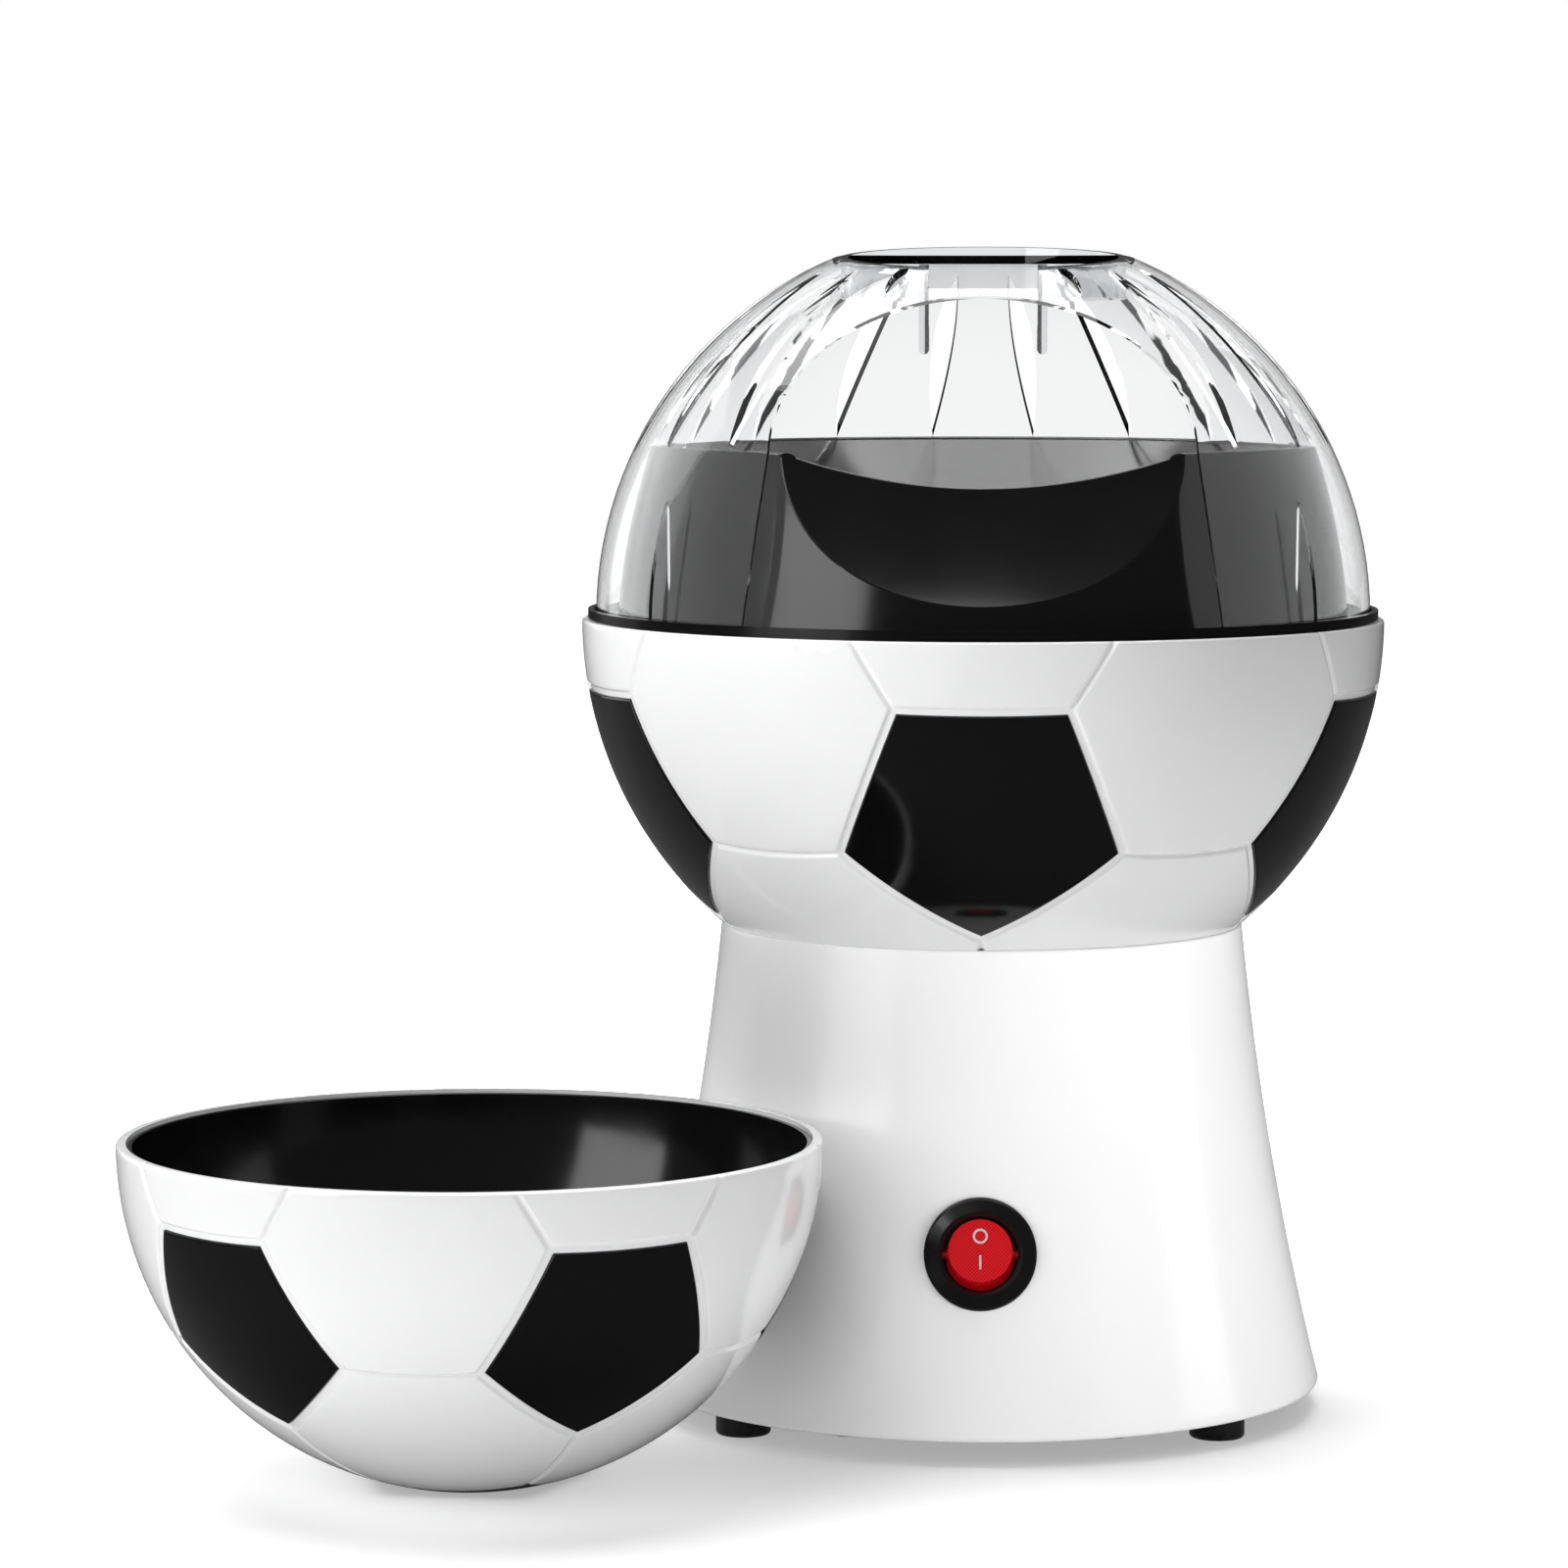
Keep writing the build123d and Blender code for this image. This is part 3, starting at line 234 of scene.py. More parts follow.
class Surface:
    """A Principled material with procedural detail in object space."""

    def __init__(self, name, colour, roughness, metallic=0.0):
        self.material = bpy.data.materials.new(name)
        self.material.use_nodes = True
        self.tree = self.material.node_tree
        self.shader = self.tree.nodes["Principled BSDF"]
        self.colour = colour
        self.roughness = roughness
        self.shader.inputs["Base Color"].default_value = (*colour, 1)
        self.shader.inputs["Roughness"].default_value = roughness
        self.shader.inputs["Metallic"].default_value = metallic
        self.coordinates = self.node("ShaderNodeTexCoord").outputs["Object"]
        self.bump_output = None

    def node(self, kind, **settings):
        node = self.tree.nodes.new(kind)
        for key, value in settings.items():
            setattr(node, key, value)
        return node

    def link(self, source, target):
        self.tree.links.new(source, target)

    def mapped(self, scale):
        """Object coordinates, stretched."""
        mapping = self.node("ShaderNodeMapping")
        mapping.inputs["Scale"].default_value = scale
        self.link(self.coordinates, mapping.inputs["Vector"])
        return mapping.outputs["Vector"]

    def noise(self, scale, detail=2.0, vector=None):
        noise = self.node("ShaderNodeTexNoise")
        noise.inputs["Scale"].default_value = scale
        noise.inputs["Detail"].default_value = detail
        self.link(vector or self.coordinates, noise.inputs["Vector"])
        return noise.outputs["Fac"]

    def ramp(self, share, *stops, interpolation="LINEAR"):
        """Colour from a number between 0 and 1, by stops of (position, colour) in order."""
        node = self.node("ShaderNodeValToRGB")
        node.color_ramp.interpolation = interpolation
        elements = node.color_ramp.elements
        while len(elements) < len(stops):
            elements.new(1.0)
        for element, (position, colour) in zip(elements, stops):
            element.position = position
            element.color = (*colour, 1)
        self.link(share, node.inputs["Fac"])
        return node.outputs["Color"]

    def paint(self, colour):
        """Base colour from an output."""
        self.link(colour, self.shader.inputs["Base Color"])
        return self

    def maths(self, operation, *values):
        """A number worked out from others, each an output or a constant."""
        node = self.node("ShaderNodeMath", operation=operation)
        for socket, value in zip(node.inputs, values):
            if isinstance(value, (int, float)):
                socket.default_value = value
            else:
                self.link(value, socket)
        return node.outputs[0]

    def split(self, vector=None):
        """The three coordinates of a point, one by one."""
        parts = self.node("ShaderNodeSeparateXYZ")
        self.link(vector or self.coordinates, parts.inputs["Vector"])
        return [parts.outputs[axis] for axis in "XYZ"]

    def vary_roughness(self, scale, share):
        """Roughness that drifts by a share of itself."""
        spread = self.node("ShaderNodeMapRange")
        spread.inputs["From Min"].default_value = 0.3
        spread.inputs["From Max"].default_value = 0.7
        spread.inputs["To Min"].default_value = self.roughness * (1 - share)
        spread.inputs["To Max"].default_value = self.roughness * (1 + share)
        self.link(self.noise(scale, 4.0), spread.inputs["Value"])
        self.link(spread.outputs["Result"], self.shader.inputs["Roughness"])
        return self

    def vary_colour(self, scale, other, vector=None, low=0.35, high=0.65):
        """Colour that drifts to another one."""
        return self.paint(self.ramp(self.noise(scale, 3.0, vector), (low, self.colour), (high, other)))

    def bump(self, height, distance):
        """Relief from a height output, with its depth in metres, on top of earlier relief."""
        bump = self.node("ShaderNodeBump")
        bump.inputs["Strength"].default_value = 1.0
        bump.inputs["Distance"].default_value = distance
        self.link(height, bump.inputs["Height"])
        if self.bump_output:
            self.link(self.bump_output, bump.inputs["Normal"])
        self.bump_output = bump.outputs["Normal"]
        self.link(self.bump_output, self.shader.inputs["Normal"])
        return self

    def coat(self, weight, roughness=0.03):
        self.shader.inputs["Coat Weight"].default_value = weight
        self.shader.inputs["Coat Roughness"].default_value = roughness
        return self


def gloss_plastic(name, colour, roughness=0.12, coat=0.5, peel=6e-6):
    """Polished moulded plastic: faint orange peel, and a gloss that drifts a little."""
    surface = Surface(name, colour, roughness).coat(coat)
    surface.vary_roughness(40, 0.25)
    surface.vary_colour(9, [c * 0.97 for c in colour])
    return surface.bump(surface.noise(260, 1.0), peel).material


def matte_plastic(name, colour, roughness=0.5, grain=900, relief=3e-5):
    """Spark-textured moulded plastic."""
    surface = Surface(name, colour, roughness)
    surface.vary_roughness(60, 0.2)
    surface.vary_colour(220, [c * 1.3 + 0.004 for c in colour])
    return surface.bump(surface.noise(grain, 3.0), relief).material


def rubber(name, colour):
    surface = Surface(name, colour, 0.75)
    surface.shader.inputs["Sheen Weight"].default_value = 0.25
    surface.vary_roughness(120, 0.15)
    surface.vary_colour(300, [c * 1.6 + 0.006 for c in colour])
    return surface.bump(surface.noise(1400, 4.0), 4e-5).material


def metal(name, colour, roughness=0.3, stretch=(1, 1, 60), scale=60, relief=4e-6):
    """Metal with fine lines, from brushing, rolling or spinning, across the stretched direction."""
    surface = Surface(name, colour, roughness, metallic=1.0)
    lines = surface.mapped(scale=stretch)
    surface.vary_colour(scale, [c * 0.86 for c in colour], lines)
    surface.vary_roughness(35, 0.3)
    return surface.bump(surface.noise(scale * 2, 4.0, lines), relief).material


def spun_metal(name, colour, roughness=0.28):
    """Spun sheet, with rings that run around the upright axis."""
    return metal(name, colour, roughness, stretch=(0.05, 0.05, 40))


def blued_wire(name, colour):
    surface = Surface(name, colour, 0.42, metallic=1.0)
    surface.vary_colour(90, (0.22, 0.17, 0.15))
    surface.vary_roughness(200, 0.3)
    return surface.bump(surface.noise(1800, 3.0), 1.5e-5).material


def mica_sheet(name, colour):
    """Pressed mica: pale flakes in a tan ground."""
    surface = Surface(name, colour, 0.38)
    flakes = surface.node("ShaderNodeTexVoronoi")
    flakes.inputs["Scale"].default_value = 420
    surface.link(surface.coordinates, flakes.inputs["Vector"])
    dark, pale = [c * 0.7 for c in colour], [min(1, c * 1.35) for c in colour]
    surface.paint(surface.ramp(flakes.outputs["Distance"], (0, dark), (1, pale)))
    surface.vary_roughness(150, 0.3)
    return surface.bump(flakes.outputs["Distance"], 3e-5).material


def circuit_board(name, colour):
    """Green laminate with straight copper tracks under the mask."""
    surface = Surface(name, colour, 0.3).coat(0.3, 0.1)
    tracks = surface.node("ShaderNodeTexBrick")
    tracks.inputs["Scale"].default_value = 220
    tracks.inputs["Mortar Size"].default_value = 0.05
    tracks.inputs["Color1"].default_value = (*colour, 1)
    tracks.inputs["Color2"].default_value = (*[c * 0.85 for c in colour], 1)
    tracks.inputs["Mortar"].default_value = (0.1, 0.42, 0.2, 1)
    surface.link(surface.coordinates, tracks.inputs["Vector"])
    surface.paint(tracks.outputs["Color"])
    surface.vary_roughness(90, 0.2)
    return surface.bump(tracks.outputs["Fac"], 2e-5).material


def red_prism(name, colour):
    """Translucent red button with a fine square grid moulded under its face, and a painted red glow on that
    face.
    """
    surface = Surface(name, colour, 0.16).coat(0.8, 0.04)
    across = surface.split()[0]
    x, _, z = surface.split(surface.mapped(scale=(2 * pi / (GRID_PITCH * MM),) * 3))
    waves = surface.maths("MULTIPLY", surface.maths("SINE", x), surface.maths("SINE", z))
    grid = surface.maths("MULTIPLY_ADD", waves, 0.5, 0.5)
    reds = surface.ramp(grid, (0.25, [c * 0.5 for c in colour]), (0.75, colour))
    surface.paint(reds)
    surface.link(reds, surface.shader.inputs["Emission Color"])
    # painted light: the rocker's face gives off a faint red glow of its own, in the grid's reds, but its
    # trunnions do not
    glow_on_face = surface.maths("LESS_THAN", surface.maths("ABSOLUTE", across), ROCKER_GLOW_REACH * MM)
    surface.link(surface.maths("MULTIPLY", glow_on_face, 0.3), surface.shader.inputs["Emission Strength"])
    surface.shader.inputs["Subsurface Weight"].default_value = 0.15
    surface.shader.inputs["Subsurface Radius"].default_value = (0.002, 0.0004, 0.0003)
    surface.vary_roughness(300, 0.3)
    return surface.bump(grid, 2.5e-5).material


def clear_plastic(name, colour, collar, cut_edge_shade):
    """Clear polished plastic, grayer in the collar, and darkest, in painted shade, on the collar's cut front
    edge.
    """
    surface = Surface(name, colour, 0.02)
    surface.shader.inputs["Transmission Weight"].default_value = 1.0
    surface.shader.inputs["IOR"].default_value = 1.38
    x, y, z = surface.split()
    squares = surface.maths("ADD", surface.maths("MULTIPLY", x, x), surface.maths("MULTIPLY", y, y))
    within = surface.maths("LESS_THAN", squares, (COLLAR_REACH * MM) ** 2)
    in_collar = surface.maths("MULTIPLY", within, surface.maths("GREATER_THAN", z, COLLAR_LOW_Z * MM))
    height = surface.maths("SUBTRACT", z, surface.maths("MULTIPLY", y, tan(radians(COLLAR_TILT))))
    at_top = surface.maths("GREATER_THAN", height, COLLAR_EDGE_Z * MM)
    at_front = surface.maths("LESS_THAN", y, COLLAR_EDGE_Y * MM)
    # painted shade: the cut top edge at the front and the cut edges beside the front gap are painted dark
    front_edge = surface.maths("MULTIPLY", at_top, at_front)
    beside_gap = surface.maths("LESS_THAN", surface.maths("ABSOLUTE", x), GAP_EDGE_X * MM)
    gap_edge = surface.maths("MULTIPLY", beside_gap, surface.maths("LESS_THAN", y, GAP_EDGE_Y * MM))
    shaded_edge_mask = surface.maths("MAXIMUM", front_edge, gap_edge)
    shade = surface.maths("MULTIPLY_ADD", in_collar, shaded_edge_mask, in_collar)
    half = surface.maths("MULTIPLY", shade, 0.5)
    tints = ((0, colour), (0.25, collar), (0.75, cut_edge_shade))
    surface.paint(surface.ramp(half, *tints, interpolation="CONSTANT"))
    surface.vary_roughness(25, 0.5)
    surface.bump(surface.noise(45, 1.0), 4e-6)
    clear = surface.node("ShaderNodeBsdfTransparent")
    clear.inputs["Color"].default_value = (0.93, 0.94, 0.95, 1)
    path = surface.node("ShaderNodeLightPath")
    mix = surface.node("ShaderNodeMixShader")
    output = surface.tree.nodes["Material Output"]
    surface.link(path.outputs["Is Shadow Ray"], mix.inputs["Fac"])
    surface.link(surface.shader.outputs["BSDF"], mix.inputs[1])
    surface.link(clear.outputs["BSDF"], mix.inputs[2])
    surface.link(mix.outputs["Shader"], output.inputs["Surface"])
    return surface.material


WHITE = (0.86, 0.862, 0.865)
# painted light: the stand's copy of the white shell plastic, painted brighter so it looks more brightly lit
# than the ball
STAND_LIT_WHITE = (0.95, 0.95, 0.952)
BLACK = (0.0035, 0.0035, 0.0038)
CLEAR = (0.95, 0.955, 0.96)
COLLAR_GRAY = (0.78, 0.79, 0.8)
# painted shade for the dome collar's cut edges
EDGE_SHADE_GRAY = (0.12, 0.12, 0.12)

FINISHES = {
    "white_shell": lambda name: gloss_plastic(name, WHITE, roughness=0.2, coat=0.7),
    "panel_black": lambda name: gloss_plastic(name, BLACK, roughness=0.1, coat=0.0),
    "collector_black": lambda name: gloss_plastic(name, BLACK, roughness=0.15, coat=0.0),
    "clear_dome": lambda name: clear_plastic(name, CLEAR, COLLAR_GRAY, EDGE_SHADE_GRAY),
    "bowl_black": lambda name: gloss_plastic(name, (0.005, 0.005, 0.0055), roughness=0.14, coat=0.0),
    "switch_black": lambda name: gloss_plastic(name, (0.006, 0.006, 0.006), roughness=0.3, coat=0.1),
    "rocker_red": lambda name: red_prism(name, (0.88, 0.006, 0.014)),
    "mark_white": lambda name: gloss_plastic(name, (0.9, 0.9, 0.9), roughness=0.35, coat=0.2),
    "foot_rubber": lambda name: rubber(name, (0.012, 0.012, 0.012)),
    "plate_black": lambda name: matte_plastic(name, (0.02, 0.02, 0.021)),
    "screw_steel": lambda name: metal(name, (0.6, 0.6, 0.62), 0.3),
    "motor_steel": lambda name: spun_metal(name, (0.6, 0.6, 0.62), 0.32),
    "magnet": lambda name: matte_plastic(name, (0.05, 0.05, 0.055), 0.45),
    "bush_brass": lambda name: metal(name, (0.72, 0.52, 0.25), 0.35),
    "motor_plastic": lambda name: matte_plastic(name, (0.75, 0.73, 0.66), 0.4),
    "core_steel": lambda name: metal(name, (0.3, 0.24, 0.2), 0.4, stretch=(1, 1, 300), relief=2e-5),
    "shaft_steel": lambda name: spun_metal(name, (0.7, 0.7, 0.72), 0.15),
    "fan_plastic": lambda name: matte_plastic(name, (0.03, 0.03, 0.033), 0.35),
    "housing_plastic": lambda name: matte_plastic(name, (0.05, 0.05, 0.055), 0.45),
    "duct_steel": lambda name: spun_metal(name, (0.68, 0.69, 0.71), 0.3),
    "coil_wire": lambda name: blued_wire(name, (0.36, 0.32, 0.3)),
    "mica": lambda name: mica_sheet(name, (0.5, 0.4, 0.25)),
    "chamber_aluminium": lambda name: spun_metal(name, (0.78, 0.79, 0.8), 0.25),
    "deck_black": lambda name: matte_plastic(name, (0.012, 0.012, 0.013)),
    "board_green": lambda name: circuit_board(name, (0.02, 0.16, 0.06)),
    "board_part": lambda name: gloss_plastic(name, (0.02, 0.02, 0.022), roughness=0.3),
    "terminal_brass": lambda name: metal(name, (0.78, 0.7, 0.5), 0.25),
    "gland_rubber": lambda name: rubber(name, (0.015, 0.015, 0.015)),
    "stat_steel": lambda name: metal(name, (0.62, 0.62, 0.64), 0.28),
}

materials = {slot: make(slot) for slot, make in FINISHES.items()}
# painted light: a brighter copy of the white shell plastic, for the stand alone
stand_lit_white = gloss_plastic("stand_lit_white", STAND_LIT_WHITE, roughness=0.2, coat=0.1)

for subpart in frame["record"]["subparts"]:
    cad_slots = frame["nodes"][subpart["node"]].data.materials
    cad_slots.clear()
    cad_slots.append(materials[subpart["material_slot"]])

# ---------------------------------------------------------------- football pattern


def heading(azimuth, latitude):
    """Unit direction at an azimuth in degrees from the front towards +X and a latitude in radians."""
    angle = radians(azimuth)
    return np.array([cos(latitude) * sin(angle), -cos(latitude) * cos(angle), sin(latitude)])


def between(start, end, shares):
    """Points along the great circle from one direction to others, at shares of the way."""
    angle = np.arccos(np.clip(np.sum(start * end, axis=-1), -1, 1))[..., None]
    shares = np.asarray(shares, float)[..., None]
    return (np.sin((1 - shares) * angle) * start + np.sin(shares * angle) * end) / np.sin(angle)


class Football:
    """A truncated icosahedron blown up to a sphere, in millimetres about its own centre."""

    def __init__(self, radius, spin):
        self.radius = radius
        lower = [heading(spin + 72 * i, -RING_LATITUDE) for i in range(5)]
        upper = [heading(spin + 36 + 72 * i, RING_LATITUDE) for i in range(5)]
        self.points = lower + upper + [heading(0, -pi / 2), heading(0, pi / 2)]
        near = np.array(self.points) @ np.array(self.points).T > NEIGHBOUR_DOT
        np.fill_diagonal(near, False)
        self.near = near
        self.pairs = [(i, j) for i in range(12) for j in range(i + 1, 12) if near[i, j]]
        self.pentagons = [self.pentagon(i) for i in range(12)]
        triples = [(i, j, k) for i, j in self.pairs for k in range(j + 1, 12) if near[i, k] and near[j, k]]
        self.hexagons = [self.hexagon(*triple) for triple in triples]

    def pentagon(self, index):
        """Middle and corners, in order around it, seen from outside."""
        middle = self.points[index]
        around = [self.points[k] for k in range(12) if self.near[index, k]]
        across = np.cross(middle, around[0])
        along = np.cross(across, middle)
        around.sort(key=lambda p: np.arctan2(p @ across, p @ along))
        return middle, [unit(2 * middle + p) for p in around]

    def hexagon(self, i, j, k):
        a, b, c = self.points[i], self.points[j], self.points[k]
        if np.cross(b - a, c - a) @ a < 0:
            b, c = c, b
        corners = []
        for p, q in ((a, b), (b, c), (c, a)):
            corners += [unit(2 * p + q), unit(p + 2 * q)]
        return unit(a + b + c), corners

    def grid(self, panel, distances):
        """Directions and faces of one panel: rings at distances from its edges, then to its middle."""
        middle, corners = panel
        arc = np.arccos(corners[0] @ corners[1]) * self.radius
        ends = np.array(ARC_ENDS)
        inside = np.linspace(ends[-1], arc - ends[-1], ARC_MIDDLE_STEPS + 2)[1:-1]
        shares = np.concatenate([ends, inside, (arc - ends[1:])[::-1]]) / arc
        edge, normals = [], []
        for start, end in zip(corners, corners[1:] + corners[:1]):
            edge.append(between(start, end, shares))
            normals.append(np.tile(unit(np.cross(start, end)), (len(shares), 1)))
        edge, normals = np.concatenate(edge), np.concatenate(normals)
        reach = np.arccos(np.clip(edge @ middle, -1, 1))
        rise = normals @ middle
        rows = []
        for distance in distances:
            step = np.arcsin(np.sin(distance / self.radius) * np.sin(reach) / rise)
            share = 1 - step / reach
            rows.append(between(middle, edge, share))
        for i in range(1, INNER_STEPS):
            rows.append(between(middle, edge, share * (1 - i / INNER_STEPS)))
        columns = len(edge)
        faces = []
        for row in range(len(rows) - 1):
            for i in range(columns):
                j = (i + 1) % columns
                near, far = row * columns, (row + 1) * columns
                faces.append([near + i, near + j, far + j, far + i])
        last = (len(rows) - 1) * columns
        tip = len(rows) * columns
        faces += [[last + i, last + (i + 1) % columns, tip] for i in range(columns)]
        return np.concatenate(rows + [middle[None]]), faces

    def edge_normals(self, panel):
        corners = panel[1]
        return [unit(np.cross(start, end)) for start, end in zip(corners, corners[1:] + corners[:1])]

    def depth(self, directions):
        """How far the white skin lies below the sphere, in millimetres: seams, bands and pockets."""
        deep = np.zeros(len(directions))
        for i, j in self.pairs:
            normal = unit(np.cross(self.points[i], self.points[j]))
            middle = unit(self.points[i] + self.points[j])
            away = np.abs(np.arcsin(np.clip(directions @ normal, -1, 1))) * self.radius
            local = directions @ middle > cos(SEAM_REACH)
            deep = np.maximum(deep, local * SEAM_DEPTH * hollow(away / SEAM_HALF_WIDTH))
        for panel in self.pentagons:
            distances = [np.arcsin(directions @ normal) * self.radius for normal in self.edge_normals(panel)]
            away = -np.min(distances, axis=0)
            local = directions @ panel[0] > PENTAGON_REACH
            band = BAND_DEPTH * hollow((away - BAND_WIDTH) / SHOULDER_WIDTH)
            deep = np.maximum(deep, local * np.where(away < EDGE_TOLERANCE, POCKET_DEPTH, band))
        return deep


def hollow(share):
    """1 at and below zero, falling smoothly to 0 at one."""
    share = np.clip(share, 0, 1)
    return 1 - share * share * (3 - 2 * share)


def rim_drop(height, round_radius):
    """How far a rounded rim draws in at a height below it."""
    gap = np.clip(round_radius - height, 0, round_radius)
    return round_radius - np.sqrt(round_radius**2 - gap**2)


def white_half_ball(name, ball, centre, wall, rim_round, foot=None, window=False):
    """Open shell below the ball's equator, with engraved seams and pockets for the black panels.

    foot is the height it is cut off at, and window leaves out the pentagon at the pole.
    """
    bm = bmesh.new()
    panels = ball.hexagons + [p for p in ball.pentagons if not (window and p[0][2] < POLE_HEIGHT)]
    for panel in panels:
        if min(corner[2] for corner in panel[1]) > RIM_HEIGHT:
            continue
        directions, faces = ball.grid(panel, RING_DISTANCES)
        corners = [bm.verts.new(d) for d in directions]
        for face in faces:
            bm.faces.new([corners[i] for i in face])
    bmesh.ops.remove_doubles(bm, verts=bm.verts, dist=1e-6)
    slice_at(bm, 0.0, clear_above=True)
    for drop in RIM_SLICES:
        slice_at(bm, -drop * rim_round / ball.radius)
    if foot is not None:
        slice_at(bm, foot / ball.radius, clear_below=True)
    bm.verts.ensure_lookup_table()
    bm.verts.index_update()
    directions = unit(np.array([v.co for v in bm.verts]))
    radii = ball.radius - ball.depth(directions)
    below = -directions[:, 2] * ball.radius
    outer = directions * (radii - rim_drop(below, rim_round))[:, None]
    inner = directions * (ball.radius - wall)
    faces = [[v.index for v in face.verts] for face in bm.faces]
    count = len(directions)
    inner_faces = [[i + count for i in reversed(face)] for face in faces]
    sides = []
    for edge in bm.edges:
        if len(edge.link_faces) == 1:
            loop = edge.link_loops[0]
            a, b = loop.vert.index, loop.link_loop_next.vert.index
            sides.append([b, a, a + count, b + count])
    bm.free()
    points = np.concatenate([outer, inner]) * MM + np.array(centre)
    return make_piece(name, points, faces + inner_faces + sides, materials["white_shell"])


def slice_at(bm, height, clear_above=False, clear_below=False):
    """Cut the mesh along a level plane, and drop what is above or below it if asked."""
    geometry = bm.verts[:] + bm.edges[:] + bm.faces[:]
    bmesh.ops.bisect_plane(
        bm,
        geom=geometry,
        dist=1e-8,
        plane_co=(0, 0, height),
        plane_no=(0, 0, 1),
        clear_outer=clear_above,
        clear_inner=clear_below,
    )


def black_panel(name, ball, index, centre):
    """One glossy pentagon, with rounded edges, standing in its pocket."""
    panel = ball.pentagons[index]
    directions, faces = ball.grid(panel, [distance for distance, _ in PANEL_PROFILE])
    columns = (len(directions) - 1) // (len(PANEL_PROFILE) + INNER_STEPS - 1)
    depths = np.full(len(directions), PANEL_PROFILE[-1][1])
    for row, (_, depth) in enumerate(PANEL_PROFILE):
        depths[row * columns : (row + 1) * columns] = depth
    top = directions * (ball.radius - depths)[:, None]
    under, under_faces = ball.grid(panel, [PANEL_PROFILE[0][0]])
    bottom = under * (ball.radius - PANEL_FOOT)
    start = len(top)
    faces = faces + [[start + i for i in reversed(face)] for face in under_faces]
    points = np.concatenate([top, bottom]) * MM + np.array(centre)
    piece = make_piece(name, points, faces, materials["panel_black"])
    weld(piece)
    return piece


def weld(piece, distance=1e-7):
    bm = bmesh.new()
    bm.from_mesh(piece.data)
    bmesh.ops.remove_doubles(bm, verts=bm.verts, dist=distance)
    bm.to_mesh(piece.data)
    bm.free()
    piece.data.set_sharp_from_angle(angle=radians(SHARP_ANGLE))


# ---------------------------------------------------------------- football body and bowl

ball_low, ball_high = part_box("ball_shell")
ball_centre = (0.0, 0.0, ball_high.z)
ball_radius = (ball_high.x - ball_low.x) / 2 / MM
ball = Football(round(ball_radius, 1), 0)
ball_skin = white_half_ball(
    "ball_skin", ball, ball_centre, BALL_WALL, BALL_RIM_ROUND, foot=(ball_low.z - ball_high.z) / MM
)
put(ball_skin, "stand", "white_shell", "ball_shell")
for index, place in enumerate(["front", "front_right", "rear_right", "rear_left", "front_left"]):
    piece = black_panel("ball_pentagon_" + place, ball, index, ball_centre)
    put(piece, "stand", "panel_black", "ball_panel_" + place)

bowl_low, bowl_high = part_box("bowl_shell")
bowl_middle = (bowl_low + bowl_high) / 2
bowl_centre = (bowl_middle.x, bowl_middle.y, bowl_high.z)
bowl_radius = (bowl_high.x - bowl_low.x) / 2 / MM
bowl = Football(round(bowl_radius, 1), 30)
bowl_skin = white_half_ball("bowl_skin", bowl, bowl_centre, BOWL_WALL, BOWL_RIM_ROUND, window=True)
put(bowl_skin, "bowl", "white_shell", "bowl_shell")
for index, letter in enumerate("abcde"):
    piece = black_panel("bowl_pentagon_" + letter, bowl, index, bowl_centre)
    put(piece, "bowl", "panel_black", "bowl_panel_" + letter)


def liner_outline():
    """Section of the bowl's black inner skin, from its rim round the inside and back outside."""
    low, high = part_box("bowl_liner")
    centre_z = bowl_high.z / MM
    foot_z = low.z / MM
    rim_z = high.z / MM
    floor_z = foot_z + LINER_WALL
    outer = (high.x - low.x) / 2 / MM
    inner = outer - LINER_WALL

    def arc(radius, start, end, steps):
        return [(radius * sin(a), centre_z - radius * cos(a)) for a in np.linspace(start, end, steps)]

    top = pi / 2 - LINER_RIM_ANGLE
    inside = arc(inner, top, np.arccos((centre_z - floor_z) / inner), LINER_STEPS[0])
    outside = arc(outer, np.arccos(min(1.0, (centre_z - foot_z) / outer)), top, LINER_STEPS[1])
    rim = [(outer - LINER_RIM_CHAMFERS[0], rim_z), (inner + LINER_RIM_CHAMFERS[1], rim_z)]
    return inside + [(AXIS_GAP, floor_z), (AXIS_GAP, foot_z)] + outside + rim


bowl_inside = lathe("bowl_inside", liner_outline(), materials["bowl_black"], centre=bowl_centre[:2])
put(bowl_inside, "bowl", "bowl_black", "bowl_liner")

# ---------------------------------------------------------------- stand

stand_low, stand_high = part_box("base_shell")
SEAT_Z = stand_high.z / MM
STAND_BOTTOM_Z = stand_low.z / MM


def stand_radius(z):
    """Radius of the stand's outer skin at a height, on its parabolic flare."""
    drop = (SEAT_Z - z) / (SEAT_Z - STAND_BOTTOM_Z)
    top = STAND_TOP_RADIUS * (1 - drop) ** 2
    return top + 2 * STAND_PULL_RADIUS * drop * (1 - drop) + STAND_FOOT_RADIUS * drop**2


def wall_place(front, z):
    """Place on the stand's outer skin at the front or back, with its z along the outward normal."""
    flare = atan((stand_radius(z - 1) - stand_radius(z + 1)) / 2)
    side = -1 if front else 1
    outward = Vector((0, side * cos(flare), sin(flare)))
    level = Vector((-side, 0, 0))
    upward = outward.cross(level)
    turn = Matrix((level, upward, outward)).transposed().to_4x4()
    return Matrix.Translation((0, side * stand_radius(z) * MM, z * MM)) @ turn


